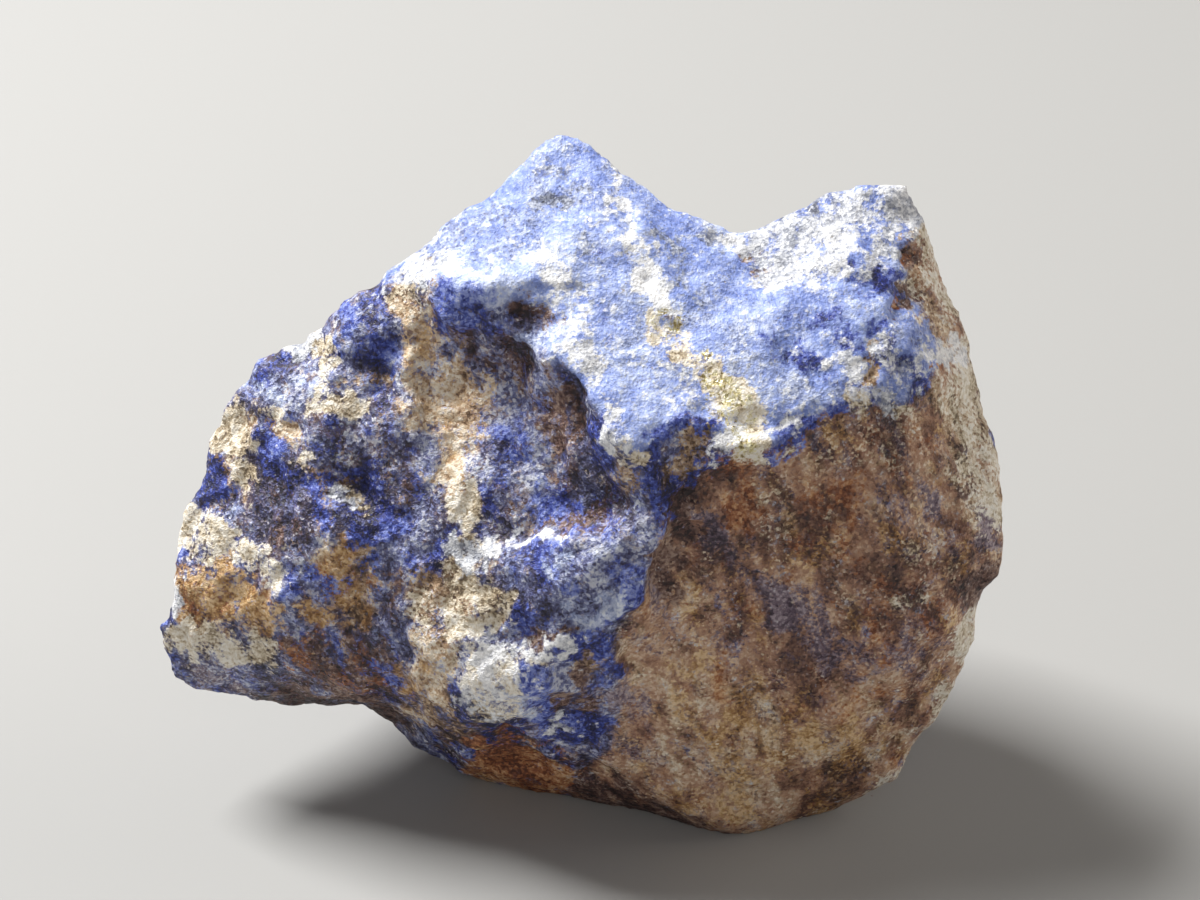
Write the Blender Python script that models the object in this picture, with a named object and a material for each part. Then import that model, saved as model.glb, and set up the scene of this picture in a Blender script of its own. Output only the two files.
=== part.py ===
"""A rough lump of lapis lazuli, broken on every side, that stands on a small flat spot.

The stone is one solid. Its show face is set out as it is seen from VIEW_DISTANCE away, looking down at it
by LOOK_DOWN: across to the right, up the view, and out towards the eye, counted in squares from the middle
of the view. The back and the foot are set out in the standing stone's own directions: x to the right, y away
from the eye and z up, in the same squares from the same middle.
"""

import math

import bmesh
import bpy
from mathutils import Matrix, Vector, noise
from mathutils.geometry import delaunay_2d_cdt

# Driving dimensions, in metres and degrees
STONE_WIDTH = 0.095
VIEW_DISTANCE = 0.37
LOOK_DOWN = math.radians(34)

# How wide the stone is seen, in squares
WIDTH_IN_SQUARES = 84.8
SQUARE = STONE_WIDTH / WIDTH_IN_SQUARES
EYE_IN_SQUARES = VIEW_DISTANCE / SQUARE

# The floor's height in the standing stone's squares, which is also the flat spot's
FLOOR = -42.0

# The outline, clockwise from the tall peak: across, up, out. Its corners stand out a little further than the
# stone's, because rounding takes them in again
OUTLINE = [
    (-3.8, 32.3, 1.5),
    (0.2, 30.9, 2.5),
    (2.4, 28.3, 3.0),
    (4.3, 27.4, 3.0),
    (7.0, 24.9, 3.5),
    (11.2, 22.5, 4.0),
    (14.0, 21.4, 3.5),
    (17.0, 22.9, 3.5),
    (20.0, 24.8, 3.5),
    (22.8, 26.2, 3.0),
    (25.0, 26.2, 3.0),
    (26.9, 27.5, 3.0),
    (29.6, 27.9, 3.0),
    (31.9, 25.9, 3.0),
    (32.2, 22.8, 2.5),
    (33.8, 18.8, 1.5),
    (35.5, 15.2, 1.0),
    (37.5, 9.6, 0.5),
    (38.9, 5.0, 0.0),
    (40.2, 0.0, -0.5),
    (40.7, -5.0, -1.0),
    (42.2, -9.6, -1.5),
    (41.3, -12.1, -2.5),
    (38.3, -14.2, -5.0),
    (37.6, -16.5, -6.5),
    (37.4, -20.0, -8.0),
    (36.4, -23.2, -10.0),
    (34.8, -26.5, -12.0),
    (32.2, -28.8, -14.0),
    (30.3, -31.5, -17.0),
    (29.3, -34.7, -19.5),
    (24.5, -36.0, -19.0),
    (19.0, -37.3, -18.0),
    (13.5, -39.4, -16.5),
    (8.0, -37.8, -18.5),
    (2.0, -36.2, -20.0),
    (-4.0, -34.6, -21.5),
    (-9.0, -34.2, -22.5),
    (-13.3, -33.2, -23.5),
    (-16.0, -30.7, -23.0),
    (-19.8, -29.1, -22.0),
    (-21.5, -26.8, -21.0),
    (-25.0, -25.9, -20.5),
    (-29.0, -26.0, -19.5),
    (-33.0, -25.8, -18.5),
    (-37.5, -24.5, -17.0),
    (-42.3, -23.1, -15.0),
    (-43.8, -20.5, -13.0),
    (-45.0, -16.8, -11.0),
    (-42.5, -12.5, -9.5),
    (-42.0, -8.0, -8.5),
    (-41.0, -4.8, -8.0),
    (-39.6, -2.2, -8.0),
    (-39.9, 1.3, -7.0),
    (-38.0, 5.2, -6.0),
    (-34.9, 9.4, -5.0),
    (-30.8, 11.2, -3.0),
    (-27.5, 12.3, -1.0),
    (-25.9, 16.0, 0.0),
    (-21.5, 17.7, 1.5),
    (-17.5, 21.0, 2.0),
    (-13.5, 24.5, 2.0),
    (-10.8, 24.8, 2.5),
    (-9.5, 26.8, 2.0),
    (-6.7, 30.9, 1.5),
]

# Lines of the show face that stay sharp: across, up, out
SHARP = {
    "arris over the hollow": [
        (-7.5, 10.5, 9.5), (-5.2, 9.8, 11.0), (-2.5, 6.8, 12.5), (0.0, 3.5, 14.0), (2.2, 0.3, 15.5),
    ],
    "nose": [(2.2, 0.3, 15.5), (4.0, -0.8, 14.5), (5.5, -2.0, 14.0), (6.0, -4.5, 12.5)],
    "arris over the right face": [
        (8.5, -5.5, 11.5), (9.0, -2.8, 12.5), (10.5, -1.5, 13.0), (12.5, 0.3, 13.5), (15.0, 0.3, 13.5),
        (17.5, 0.2, 13.0), (19.7, 2.0, 12.5), (23.0, 3.8, 12.0), (26.0, 4.8, 11.5), (30.0, 4.8, 10.0),
        (32.5, 6.2, 8.5), (34.5, 7.8, 6.5),
    ],
    "edge of the striped bulge": [
        (6.0, -4.5, 12.5), (5.7, -8.0, 11.0), (5.0, -11.0, 9.5), (4.0, -14.0, 8.0), (1.5, -17.0, 6.5),
        (-0.2, -18.4, 5.5), (-3.0, -19.0, 4.5), (-6.0, -19.8, 3.5), (-9.0, -19.0, 3.0),
    ],
    "ledge on the bulge": [(-7.0, -9.0, 5.0), (-3.0, -8.2, 7.0), (1.0, -7.5, 9.5), (4.0, -6.5, 11.0)],
    "lip of the blue lobe": [
        (-20.0, 16.5, 3.5), (-15.0, 17.2, 7.0), (-12.0, 16.6, 9.5), (-10.0, 17.2, 9.5), (-9.0, 14.0, 9.5),
    ],
    "lip of the dark notch": [(-9.0, 14.0, 9.5), (-5.5, 13.6, 9.8), (-3.8, 12.5, 10.3), (-5.5, 11.4, 9.6)],
    "far right ridge": [
        (32.2, 22.8, 2.5), (30.5, 21.0, 5.5), (29.5, 16.5, 8.0), (28.2, 12.5, 9.5), (27.0, 8.0, 11.0),
    ],
    "lip over the underside": [
        (-13.0, -29.5, -11.0), (-10.0, -28.7, -8.5), (-5.0, -29.7, -8.0), (0.0, -31.5, -9.5),
        (5.0, -33.8, -11.5), (10.0, -36.2, -13.0), (13.8, -37.8, -13.5),
    ],
    "shelf of the lower bulge": [
        (0.5, -19.8, 3.5), (-4.0, -21.8, 2.8), (-8.0, -22.6, 2.2), (-12.0, -22.0, 1.5),
    ],
}

# Lines and spots of the show face that are soft: across, up, out
SOFT = {
    "glare slope": [(-8.0, 22.2, 6.5), (-11.0, 20.5, 6.0)],
    "peak": [(-5.5, 24.5, 5.5), (-1.0, 25.0, 6.0), (2.5, 23.5, 6.0)],
    "middle fold": [(-2.5, 19.0, 8.5), (-4.0, 15.5, 10.0), (-2.5, 11.5, 12.0), (0.0, 8.0, 13.0)],
    "trough": [(11.0, 20.2, 5.0), (9.0, 15.0, 8.3), (6.5, 13.0, 9.0)],
    "pale vein": [(4.5, 19.0, 7.5), (5.0, 10.5, 11.0), (10.0, 8.0, 11.5), (14.0, 4.5, 12.0)],
    "right slope": [(17.0, 18.8, 6.0), (20.0, 15.0, 8.5), (24.0, 18.0, 7.0), (27.0, 22.5, 5.0)],
    "right slope foot": [(20.0, 10.0, 11.0), (25.0, 11.0, 10.5)],
    "nose slope": [(6.0, 5.0, 13.0), (5.0, 1.0, 14.0)],
    "small facet": [(7.5, 1.8, 13.5), (10.0, 2.6, 13.3)],
    "small facet floor": [(9.0, -0.5, 12.2), (7.6, -2.8, 11.5)],
    "lobe front": [(-14.5, 13.5, 7.5), (-12.0, 13.0, 9.0)],
    "under the lobe": [(-12.0, 10.0, 5.5), (-8.0, 8.5, 5.5)],
    "hollow": [(-5.5, 6.5, 6.0), (-4.0, 4.0, 6.5), (-3.5, 0.0, 7.0)],
    "hollow side": [(-2.5, 2.5, 9.0), (0.0, 0.0, 11.0), (2.5, -3.5, 11.0)],
    "hollow floor": [(-10.0, 5.0, 4.0), (-10.0, 1.0, 4.5), (-6.0, 1.0, 5.3)],
    "above the ledge": [(-7.0, -7.0, 4.0), (-3.0, -6.6, 5.3), (1.0, -6.0, 8.0)],
    "bulge": [(0.0, -12.0, 8.5), (-4.0, -13.0, 7.0), (-8.0, -12.5, 5.5), (-10.0, -15.5, 4.5)],
    "crack under the bulge": [(-1.5, -19.8, 3.2), (-5.0, -20.9, 2.2)],
    "lower bulge": [(1.0, -24.0, 0.0), (-3.0, -25.5, -1.0), (-8.0, -25.0, 0.5), (-12.5, -24.0, 0.0)],
    "lower bulge foot": [
        (-13.5, -26.0, -2.0), (-11.0, -27.5, -3.5), (-7.0, -28.0, -4.5), (-2.0, -29.0, -6.0),
    ],
    "tan band": [(-17.0, -19.0, 1.0), (-18.0, -25.0, -5.0), (-16.0, -28.5, -11.0)],
    "middle left": [(-13.0, -3.0, 4.0), (-12.0, -11.0, 3.0), (-17.0, -13.0, 2.5)],
    "upper left": [(-17.0, 12.0, 4.0), (-16.0, 7.0, 2.5), (-18.0, 2.0, 2.5), (-20.0, -5.0, 2.0)],
    "left lobe": [(-23.0, 14.0, 3.5), (-25.0, 10.5, 3.0), (-21.5, 10.5, 3.0)],
    "crease under the left lobe": [(-27.0, 8.5, 0.0), (-24.0, 8.0, 1.0)],
    "left shoulder": [(-33.0, 7.0, -2.5), (-35.0, 4.0, -3.5), (-36.0, 1.0, -4.0), (-37.0, -3.0, -5.0)],
    "left middle": [(-28.0, 4.0, 0.5), (-31.0, 1.0, -1.0), (-25.0, 1.0, 1.0), (-22.0, 5.0, 2.5)],
    "pit": [(-25.5, -3.5, -0.5)],
    "pit lip": [(-23.5, -5.5, 1.5), (-27.0, -6.5, 0.8), (-30.0, -3.0, -0.5)],
    "blue ledge": [(-27.0, -9.0, 0.5), (-23.0, -8.0, 1.8)],
    "left low": [(-33.0, -9.0, -2.0), (-39.0, -8.0, -5.5)],
    "brown hollow": [(-40.0, -13.0, -7.0), (-36.0, -14.0, -6.0), (-33.0, -20.0, -6.5)],
    "below the ledge": [
        (-31.0, -12.0, -2.0), (-30.0, -16.0, -3.0), (-24.0, -12.0, 0.0), (-22.0, -17.0, -1.0),
    ],
    "left foot": [(-40.0, -19.5, -10.0), (-38.0, -22.0, -11.5), (-30.0, -23.5, -9.5), (-23.0, -24.0, -8.0)],
    "left foot rise": [(-26.0, -21.0, -4.0), (-20.0, -21.0, -3.0)],
    "under the right arris": [
        (11.0, -3.0, 9.5), (16.0, -1.5, 11.0), (21.0, 1.0, 11.0), (26.0, 3.0, 10.5), (31.0, 3.5, 9.0),
    ],
    "crease beside the bulge": [(8.5, -8.0, 8.5), (8.0, -11.5, 6.0), (8.5, -16.0, 3.8)],
    "right face high": [(14.0, -9.0, 6.5), (20.0, -7.0, 7.5), (27.0, -5.0, 8.0), (33.0, -3.0, 5.5)],
    "right edge": [(35.5, 1.0, 3.5), (36.5, -7.0, 3.5), (36.0, -11.0, 2.5), (34.5, -15.0, 1.0)],
    "right notch": [(37.5, -11.2, 1.5), (36.8, -13.5, -1.5)],
    "right face middle": [(12.0, -17.0, 2.0), (19.0, -15.0, 3.0), (26.0, -13.0, 4.5), (32.5, -11.0, 4.5)],
    "right face low": [
        (5.0, -20.0, 0.8), (10.0, -23.0, -1.5), (17.0, -23.0, -2.0), (24.0, -21.0, -0.5), (30.0, -19.0, 1.0),
    ],
    "right edge low": [(33.8, -20.0, -3.0), (30.5, -26.0, -7.0)],
    "right face foot": [
        (4.0, -27.0, -5.0), (8.0, -30.0, -7.0), (14.0, -32.0, -9.5), (20.0, -31.0, -9.0), (26.0, -29.0, -8.0),
    ],
    "right foot": [(18.0, -36.2, -14.5), (23.0, -34.5, -14.5), (27.5, -32.0, -13.0)],
    "right pocket": [(32.5, 13.0, 6.0), (34.5, 11.0, 4.5), (32.0, 16.5, 6.0), (30.5, 10.0, 9.0)],
}

# The flat spot that it stands on is cut through this hump of the underside: x, y, z
FOOT = [
    (10.0, -2.5, -42.8), (17.0, 0.5, -43.0), (18.5, 7.5, -43.0), (12.0, 13.0, -42.9),
    (2.0, 14.0, -43.0), (-5.0, 10.5, -42.8), (-4.5, 4.5, -42.9), (2.0, 0.5, -43.0),
]

# Where the underside rises from the flat spot to the outline: x, y, z
UNDERSIDE = {
    "right": [(21.0, -3.5, -40.0), (25.0, 5.0, -38.5), (20.0, 15.0, -38.0)],
    "behind": [(9.0, 18.5, -38.5), (-3.0, 18.0, -39.0)],
    "left": [(-11.0, 12.5, -38.5), (-18.0, 7.5, -34.0), (-27.0, 5.5, -29.5)],
}

# Arrises between the broken faces of the back, in the standing stone's directions: x, y, z
BACK_SHARP = {
    "long arris": [
        (13.5, 19.0, 11.0), (12.0, 24.5, 5.0), (8.0, 29.0, -2.0), (-1.0, 31.5, -8.0), (-12.0, 29.5, -11.0),
        (-24.0, 25.0, -14.0), (-34.0, 17.5, -15.0), (-40.0, 9.0, -16.0),
    ],
    "right arris": [
        (8.0, 29.0, -2.0), (18.0, 27.5, -4.0), (27.0, 22.5, -5.0), (34.5, 14.0, -7.0), (38.5, 7.0, -8.5),
    ],
    "keel": [(-1.0, 31.5, -8.0), (1.0, 31.0, -18.0), (4.0, 27.5, -29.0), (6.0, 22.5, -35.5)],
    "left keel": [(-24.0, 25.0, -14.0), (-20.0, 22.5, -26.0), (-14.0, 18.0, -35.0)],
}

# Hollows and swells of the back's broken faces: x, y, z
BACK_SOFT = {
    "behind the peak": [(-5.0, 20.5, 17.0), (-12.0, 23.0, 3.0), (-2.0, 24.5, 4.0), (4.0, 24.0, 8.0)],
    "behind the left shoulder": [(-24.0, 18.0, -3.0), (-32.0, 12.0, -7.0)],
    "behind the right peak": [(25.0, 19.5, 9.0), (31.0, 14.0, 5.0), (19.0, 23.0, 3.0)],
    "lower right": [(12.0, 26.5, -15.0), (22.0, 21.0, -20.0), (30.0, 13.0, -23.0), (18.0, 20.0, -32.0)],
    "lower middle": [(-9.0, 26.0, -22.0), (-5.0, 22.0, -33.0)],
    "lower left": [(-29.0, 18.0, -21.0), (-35.0, 11.0, -24.0), (-26.0, 13.0, -31.0)],
}

# How sharp an arris and the outline stay, where 1 is a knife's edge
ARRIS_SHARPNESS = 0.75
OUTLINE_SHARPNESS = 0.7
CUT_SHARPNESS = 1.0
ROUNDING_STEPS = 2

# The solid has about this many flat facets
FACETS = 7600

# The broken surface's waves: how long and how high a wave is, in metres, and where in the noise it is read
WAVES = [
    (0.013, 0.0009, Vector((3.1, 7.4, 1.7))),
    (0.006, 0.0005, Vector((11.3, 2.9, 5.2))),
]

# The stone's colour on the whole, which is between its blue and its pale and brown bands
STONE_COLOUR = (0.16, 0.17, 0.30, 1.0)
STONE_ROUGHNESS = 0.75


def standing(across, up, out):
    """Where a place seen from the front is on the standing stone, in squares."""
    nearer = 1 - out / EYE_IN_SQUARES
    seen_square_on = Vector((across * nearer, -out, up * nearer))
    return Matrix.Rotation(-LOOK_DOWN, 3, "X") @ seen_square_on


def seen(place):
    """Where a place on the standing stone is seen from the front: across, up, out."""
    turned = Matrix.Rotation(LOOK_DOWN, 3, "X") @ Vector(place)
    nearer = 1 + turned.y / EYE_IN_SQUARES
    return turned.x / nearer, turned.z / nearer, -turned.y


def all_seen(lines):
    return [[seen(place) for place in line] for line in lines]


def sheet(sharp_lines, soft_lines, cut_lines):
    """The places, triangles and sharp edges of a net that fills the outline and runs along every line."""
    places = list(OUTLINE)
    edges = []
    kinds = ((sharp_lines, ARRIS_SHARPNESS), (soft_lines, 0.0), (cut_lines, CUT_SHARPNESS))
    for lines, sharpness in kinds:
        for line in lines:
            for place in line:
                if place not in places:
                    places.append(place)
            row = [places.index(place) for place in line]
            edges += [(a, b, sharpness) for a, b in zip(row, row[1:])]
    flat = [Vector(place[:2]) for place in places]
    pairs = [edge[:2] for edge in edges]
    outline = [list(range(len(OUTLINE)))]
    made, _, faces, sources, _, _ = delaunay_2d_cdt(flat, pairs, outline, 1, 1e-4)
    if len(made) != len(places):
        raise ValueError("two lines cross, or a place is outside the outline")
    triangles = [tuple(sources[corner][0] for corner in face) for face in faces]
    return places, triangles, [edge for edge in edges if edge[2]]


def cage():
    """The stone's arrises and broken faces as a closed net, with its front and back joined at the outline."""
    foot = [seen(place) for place in FOOT]
    front = sheet(SHARP.values(), SOFT.values(), [])
    soft_back = all_seen([*BACK_SOFT.values(), *UNDERSIDE.values()])
    back = sheet(all_seen(BACK_SHARP.values()), soft_back, [foot + foot[:1]])
    mesh = bmesh.new()
    crease = mesh.edges.layers.float.new("crease_edge")
    rim = [mesh.verts.new(standing(*place) * SQUARE) for place in OUTLINE]
    for places, triangles, sharp_edges in (front, back):
        inner = [mesh.verts.new(standing(*place) * SQUARE) for place in places[len(OUTLINE):]]
        corners = rim + inner
        for triangle in triangles:
            mesh.faces.new([corners[corner] for corner in triangle])
        for a, b, sharpness in sharp_edges:
            mesh.edges.get((corners[a], corners[b]))[crease] = sharpness
    for a, b in zip(rim, rim[1:] + rim[:1]):
        mesh.edges.get((a, b))[crease] = OUTLINE_SHARPNESS
    bmesh.ops.recalc_face_normals(mesh, faces=mesh.faces)
    return mesh


def with_modifier(stone, mesh, kind, **settings):
    """The mesh as one of Blender's modifiers makes it, as a new bmesh."""
    mesh.to_mesh(stone.data)
    mesh.free()
    modifier = stone.modifiers.new(kind.title(), kind)
    for name, value in settings.items():
        setattr(modifier, name, value)
    graph = bpy.context.evaluated_depsgraph_get()
    made = bmesh.new()
    made.from_mesh(stone.evaluated_get(graph).to_mesh())
    stone.modifiers.remove(modifier)
    return made


def add_waves(mesh):
    """Moves the surface out and in by the height of its waves."""
    mesh.normal_update()
    moves = []
    for vert in mesh.verts:
        height = sum(high * noise.noise(vert.co / long + start) for long, high, start in WAVES)
        moves.append(vert.normal * height)
    for vert, move in zip(mesh.verts, moves):
        vert.co += move


def cut_foot(mesh):
    """Cuts the flat spot at the floor."""
    everything = list(mesh.verts) + list(mesh.edges) + list(mesh.faces)
    floor = (0, 0, FLOOR * SQUARE)
    bmesh.ops.bisect_plane(
        mesh, geom=everything, dist=1e-6, plane_co=floor, plane_no=(0, 0, 1), clear_inner=True
    )
    rim = [edge for edge in mesh.edges if edge.is_boundary]
    bmesh.ops.contextual_create(mesh, geom=rim)
    bmesh.ops.triangulate(mesh, faces=mesh.faces)
    bmesh.ops.recalc_face_normals(mesh, faces=mesh.faces)


def move_origin_under_middle(mesh):
    """Puts the origin on the floor under the stone's middle, and gives where the squares' middle is then."""
    sides = [[vert.co[axis] for vert in mesh.verts] for axis in range(3)]
    middle_x, middle_y, _ = [(min(side) + max(side)) / 2 for side in sides]
    squares_middle = -Vector((middle_x, middle_y, min(sides[2])))
    bmesh.ops.translate(mesh, verts=mesh.verts, vec=squares_middle)
    return squares_middle


def stone_material():
    material = bpy.data.materials.new("lapis")
    material.use_nodes = True
    shader = material.node_tree.nodes["Principled BSDF"]
    shader.inputs["Base Color"].default_value = STONE_COLOUR
    shader.inputs["Roughness"].default_value = STONE_ROUGHNESS
    shader.inputs["Metallic"].default_value = 0.0
    material.diffuse_color = STONE_COLOUR
    return material


def main():
    for old in list(bpy.data.objects):
        bpy.data.objects.remove(old)
    stone = bpy.data.objects.new("lapis_stone", bpy.data.meshes.new("lapis_stone"))
    bpy.context.scene.collection.objects.link(stone)
    mesh = with_modifier(stone, cage(), "SUBSURF", levels=ROUNDING_STEPS, render_levels=ROUNDING_STEPS)
    add_waves(mesh)
    bmesh.ops.triangulate(mesh, faces=mesh.faces)
    mesh = with_modifier(stone, mesh, "DECIMATE", ratio=FACETS / len(mesh.faces))
    cut_foot(mesh)
    squares_middle = move_origin_under_middle(mesh)
    mesh.to_mesh(stone.data)
    mesh.free()
    stone.data.materials.append(stone_material())
    size = [round(side, 4) for side in stone.dimensions]
    print("stone:", len(stone.data.polygons), "facets,", size, "m")
    print("the middle of the squares is at", [round(along, 5) for along in squares_middle], "m")


main()
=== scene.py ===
# %% [markdown]
# # A rough lump of lapis lazuli
#
# Lapis lazuli is a rock, not a single crystal. Blue lazurite grows through white calcite and brown host rock, with
# grains of brassy pyrite along the seams. This lump was broken from a larger block, so every side of it is a
# fracture: a smooth sloping face on top, a steep brown face below it, and a rugged blue one to the left.
#
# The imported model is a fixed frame. It has one solid, the whole stone, with only its larger facets. This lesson
# gives that solid its broken surface and its colours.

# %% Load the frame and the tools
import math

import bmesh
import bpy
import numpy as np
from mathutils import Color, Matrix, Vector, kdtree, noise


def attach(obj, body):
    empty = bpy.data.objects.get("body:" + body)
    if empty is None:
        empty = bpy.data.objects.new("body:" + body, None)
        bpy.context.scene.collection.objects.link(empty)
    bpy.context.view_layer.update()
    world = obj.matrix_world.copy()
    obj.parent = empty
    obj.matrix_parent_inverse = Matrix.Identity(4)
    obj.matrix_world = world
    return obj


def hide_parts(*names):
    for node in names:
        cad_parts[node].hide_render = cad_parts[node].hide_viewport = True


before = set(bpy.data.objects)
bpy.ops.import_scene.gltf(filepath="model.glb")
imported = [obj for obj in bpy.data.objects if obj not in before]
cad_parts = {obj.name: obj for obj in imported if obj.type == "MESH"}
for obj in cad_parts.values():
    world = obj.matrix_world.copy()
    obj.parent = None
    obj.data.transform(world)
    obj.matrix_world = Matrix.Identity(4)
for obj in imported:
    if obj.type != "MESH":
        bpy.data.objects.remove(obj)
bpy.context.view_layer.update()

# %% [markdown]
# ## The view that the stone is described in
#
# Marks on a natural stone are easiest to place as they are seen, so this lesson uses one view for everything: from
# VIEW_DISTANCE away, looking down by LOOK_DOWN. A place in it is "across" and "up" from the middle of the view, in
# squares of a little over a millimetre at the stone. The camera stands at the same eye.

# %% Turn points into places in the view
VIEW_DISTANCE = 0.37
LOOK_DOWN = math.radians(34)
SQUARE = 0.095 / 84.8
VIEW_MIDDLE = Vector((0.00254, -0.00928, 0.04705))
VIEW_WIDTH_IN_SQUARES = 120

TO_EYE = Matrix.Rotation(-LOOK_DOWN, 3, "X") @ Vector((0, -1, 0))
UP_THE_VIEW = Matrix.Rotation(-LOOK_DOWN, 3, "X") @ Vector((0, 0, 1))


def seen(points):
    """Where each point is seen: across and up, in squares."""
    from_middle = points - np.array(VIEW_MIDDLE)
    nearer = 1 - from_middle @ np.array(TO_EYE) / VIEW_DISTANCE
    across = from_middle[:, 0] / nearer
    up = from_middle @ np.array(UP_THE_VIEW) / nearer
    return np.stack([across, up], axis=1) / SQUARE


print("a square is", round(SQUARE * 1000, 2), "mm")

# %% [markdown]
# ## A fine grid over the solid
#
# The solid has about 7,500 flat facets, far too few for a broken surface. A voxel remesh lays an even grid of small
# squares over it, for the same detail everywhere. With squares of half a millimetre it stays under 200,000
# triangles, and what is finer is left to the material. A little smoothing takes the solid's own flat facets out
# again, while the flat spot that the stone stands on is held where it is.

# %% Lay the grid
GRID = 0.00050
FACET_SMOOTHING = 2
FLAT_SPOT_HEIGHT = 0.0004
SAME_POINT = 1e-6


def rows_of(parts, name, width=3, kind=np.float32):
    """One property of a mesh's points, normals or edges, in rows."""
    flat = np.empty(len(parts) * width, kind)
    parts.foreach_get(name, flat)
    return flat.reshape(-1, width)


def move_points(mesh, points):
    mesh.vertices.foreach_set("co", points.astype(np.float32).ravel())
    mesh.update()


def put_in_scene(name, data):
    """A new object in the scene, with this mesh, lamp or camera."""
    piece = bpy.data.objects.new(name, data)
    bpy.context.scene.collection.objects.link(piece)
    return piece


def lay_grid(solid_mesh):
    """The solid's mesh, joined at its facets and covered with an even grid."""
    joined = bmesh.new()
    joined.from_mesh(solid_mesh)
    bmesh.ops.remove_doubles(joined, verts=joined.verts, dist=SAME_POINT)
    rough = bpy.data.meshes.new("joined")
    joined.to_mesh(rough)
    joined.free()
    piece = put_in_scene("rough_lapis", rough)
    grid = piece.modifiers.new("Fine grid", "REMESH")
    grid.mode = "VOXEL"
    grid.voxel_size = GRID
    graph = bpy.context.evaluated_depsgraph_get()
    piece.data = bpy.data.meshes.new_from_object(piece.evaluated_get(graph))
    piece.modifiers.clear()
    return piece


def neighbour_average(points, edges):
    """The middle of each point's neighbours."""
    total = np.zeros_like(points)
    count = np.zeros(len(points))
    for near, far in ((0, 1), (1, 0)):
        np.add.at(total, edges[:, near], points[edges[:, far]])
        np.add.at(count, edges[:, near], 1)
    return total / count[:, None]


stone = lay_grid(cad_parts["lapis_stone"].data)
edges = rows_of(stone.data.edges, "vertices", 2, np.int32)
points = rows_of(stone.data.vertices, "co").astype(float)
on_flat_spot = points[:, 2] < FLAT_SPOT_HEIGHT
for _ in range(FACET_SMOOTHING):
    points = np.where(on_flat_spot[:, None], points, neighbour_average(points, edges))
move_points(stone.data, points)
print("grid:", len(points), "points,", 2 * len(stone.data.polygons), "triangles")

# %% [markdown]
# ## How rough a break is
#
# A broken rock is rough at every size at once, so several kinds of roughness lie on top of each other. Waves of
# noise make soft swellings. Ridges are the same noise folded over, with sharp crests between rounded hollows. Chips
# make the hackly look: each cell of the surface is a little plane with its own tilt, as if a flake had come off.

# %% Waves, ridges and chips
# Without a number to start from, the chips' tilts would differ in each run
CHIP_TILTS = 2
noise.seed_set(CHIP_TILTS)
# Where in the noise each field is read, so that no two are alike
AWAY = [Vector((31.7 * n, 17.3 * n, 7.9 * n)) for n in range(40)]
WAVE_FADE, RIDGE_FADE, FINER = 0.7, 0.9, 2.1
RIDGE_RISE, RIDGE_GAIN = 1.0, 2.0
CELLS_APART = 3.7


def field(places, length, seed, height_at):
    """The heights at these places, about 0 and with a spread of 1."""
    heights = np.array([height_at(Vector(place) / length + AWAY[seed]) for place in places])
    return (heights - heights.mean()) / heights.std()


def waves(places, length, seed, octaves=1):
    """Soft swellings with waves of this length in metres."""
    return field(places, length, seed, lambda at: noise.fractal(at, WAVE_FADE, FINER, octaves))


def ridges(places, length, seed, octaves):
    """Sharp crests between rounded hollows, this far apart in metres."""
    shape = (RIDGE_FADE, FINER, octaves, RIDGE_RISE, RIDGE_GAIN)
    return field(places, length, seed, lambda at: noise.ridged_multi_fractal(at, *shape))


def chips(places, length, seed):
    """Small tilted planes, in cells of this length in metres."""
    def above_cell(at):
        cell = noise.voronoi(at)[1][0]
        return (at - cell).dot(noise.noise_vector(cell * CELLS_APART))

    return field(places, length, seed, above_cell)


def soft_step(value, low, high):
    """From 0 to 1, or from 1 to 0 where low is over high, as value passes between them."""
    share = np.clip((value - low) / (high - low), 0, 1)
    return share * share * (3 - 2 * share)


normals = rows_of(stone.data.vertex_normals, "vector").astype(float)
facing = normals @ np.array(TO_EYE)
places = seen(points)
print("the stone is seen", np.ptp(places[:, 0]).round(1), "squares wide")

# %% [markdown]
# ## The grain of the rock
#
# The seams of this rock run one way, down the front and a little to the right, as layers that were pressed flat
# long ago. Noise that is measured in places squeezed along that direction has its mottles drawn out along it.

# %% Squeeze the places along the seams
SEAM_RUN = np.array(Vector((0.36, 0.0, -0.93)).normalized())
DRAWN_OUT = 2.0
drawn = points - np.outer((points @ SEAM_RUN) * (1 - 1 / DRAWN_OUT), SEAM_RUN)
print("mottles are drawn out", DRAWN_OUT, "times")

# %% [markdown]
# ## Marks
#
# Everything else on the stone is a mark: a seam, a stain, a crack, a ledge. A mark is a line of places in the view
# with a radius, or a patch with an outline. A point of the stone belongs to it by how near it is seen to the line or
# how far inside the outline. Noise first pushes the places about, so that no mark keeps a smooth edge.

# %% Measure how near the marks are
RAGGED, RAGGED_LENGTH = 0.45, 0.0030
FRAYED, FRAYED_LENGTH = 0.28, 0.0010
FULL_WITHIN, GONE_BEYOND = 0.2, 1.9
NEXT_TO_NOTHING = 1e-9


def beside_line(places, line):
    """How far each place is from a line, in squares, and whether it is on the line's right."""
    line = np.array(line if len(line) > 1 else line * 2, float)
    nearest = np.full(len(places), np.inf)
    on_right = np.zeros(len(places), bool)
    for start, end in zip(line, line[1:]):
        along = end - start
        share = np.clip((places - start) @ along / max(along @ along, NEXT_TO_NOTHING), 0, 1)
        gap = places - start - share[:, None] * along
        far = np.hypot(*gap.T)
        on_right = np.where(far < nearest, along[0] * gap[:, 1] < along[1] * gap[:, 0], on_right)
        nearest = np.minimum(nearest, far)
    return nearest, on_right


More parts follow.
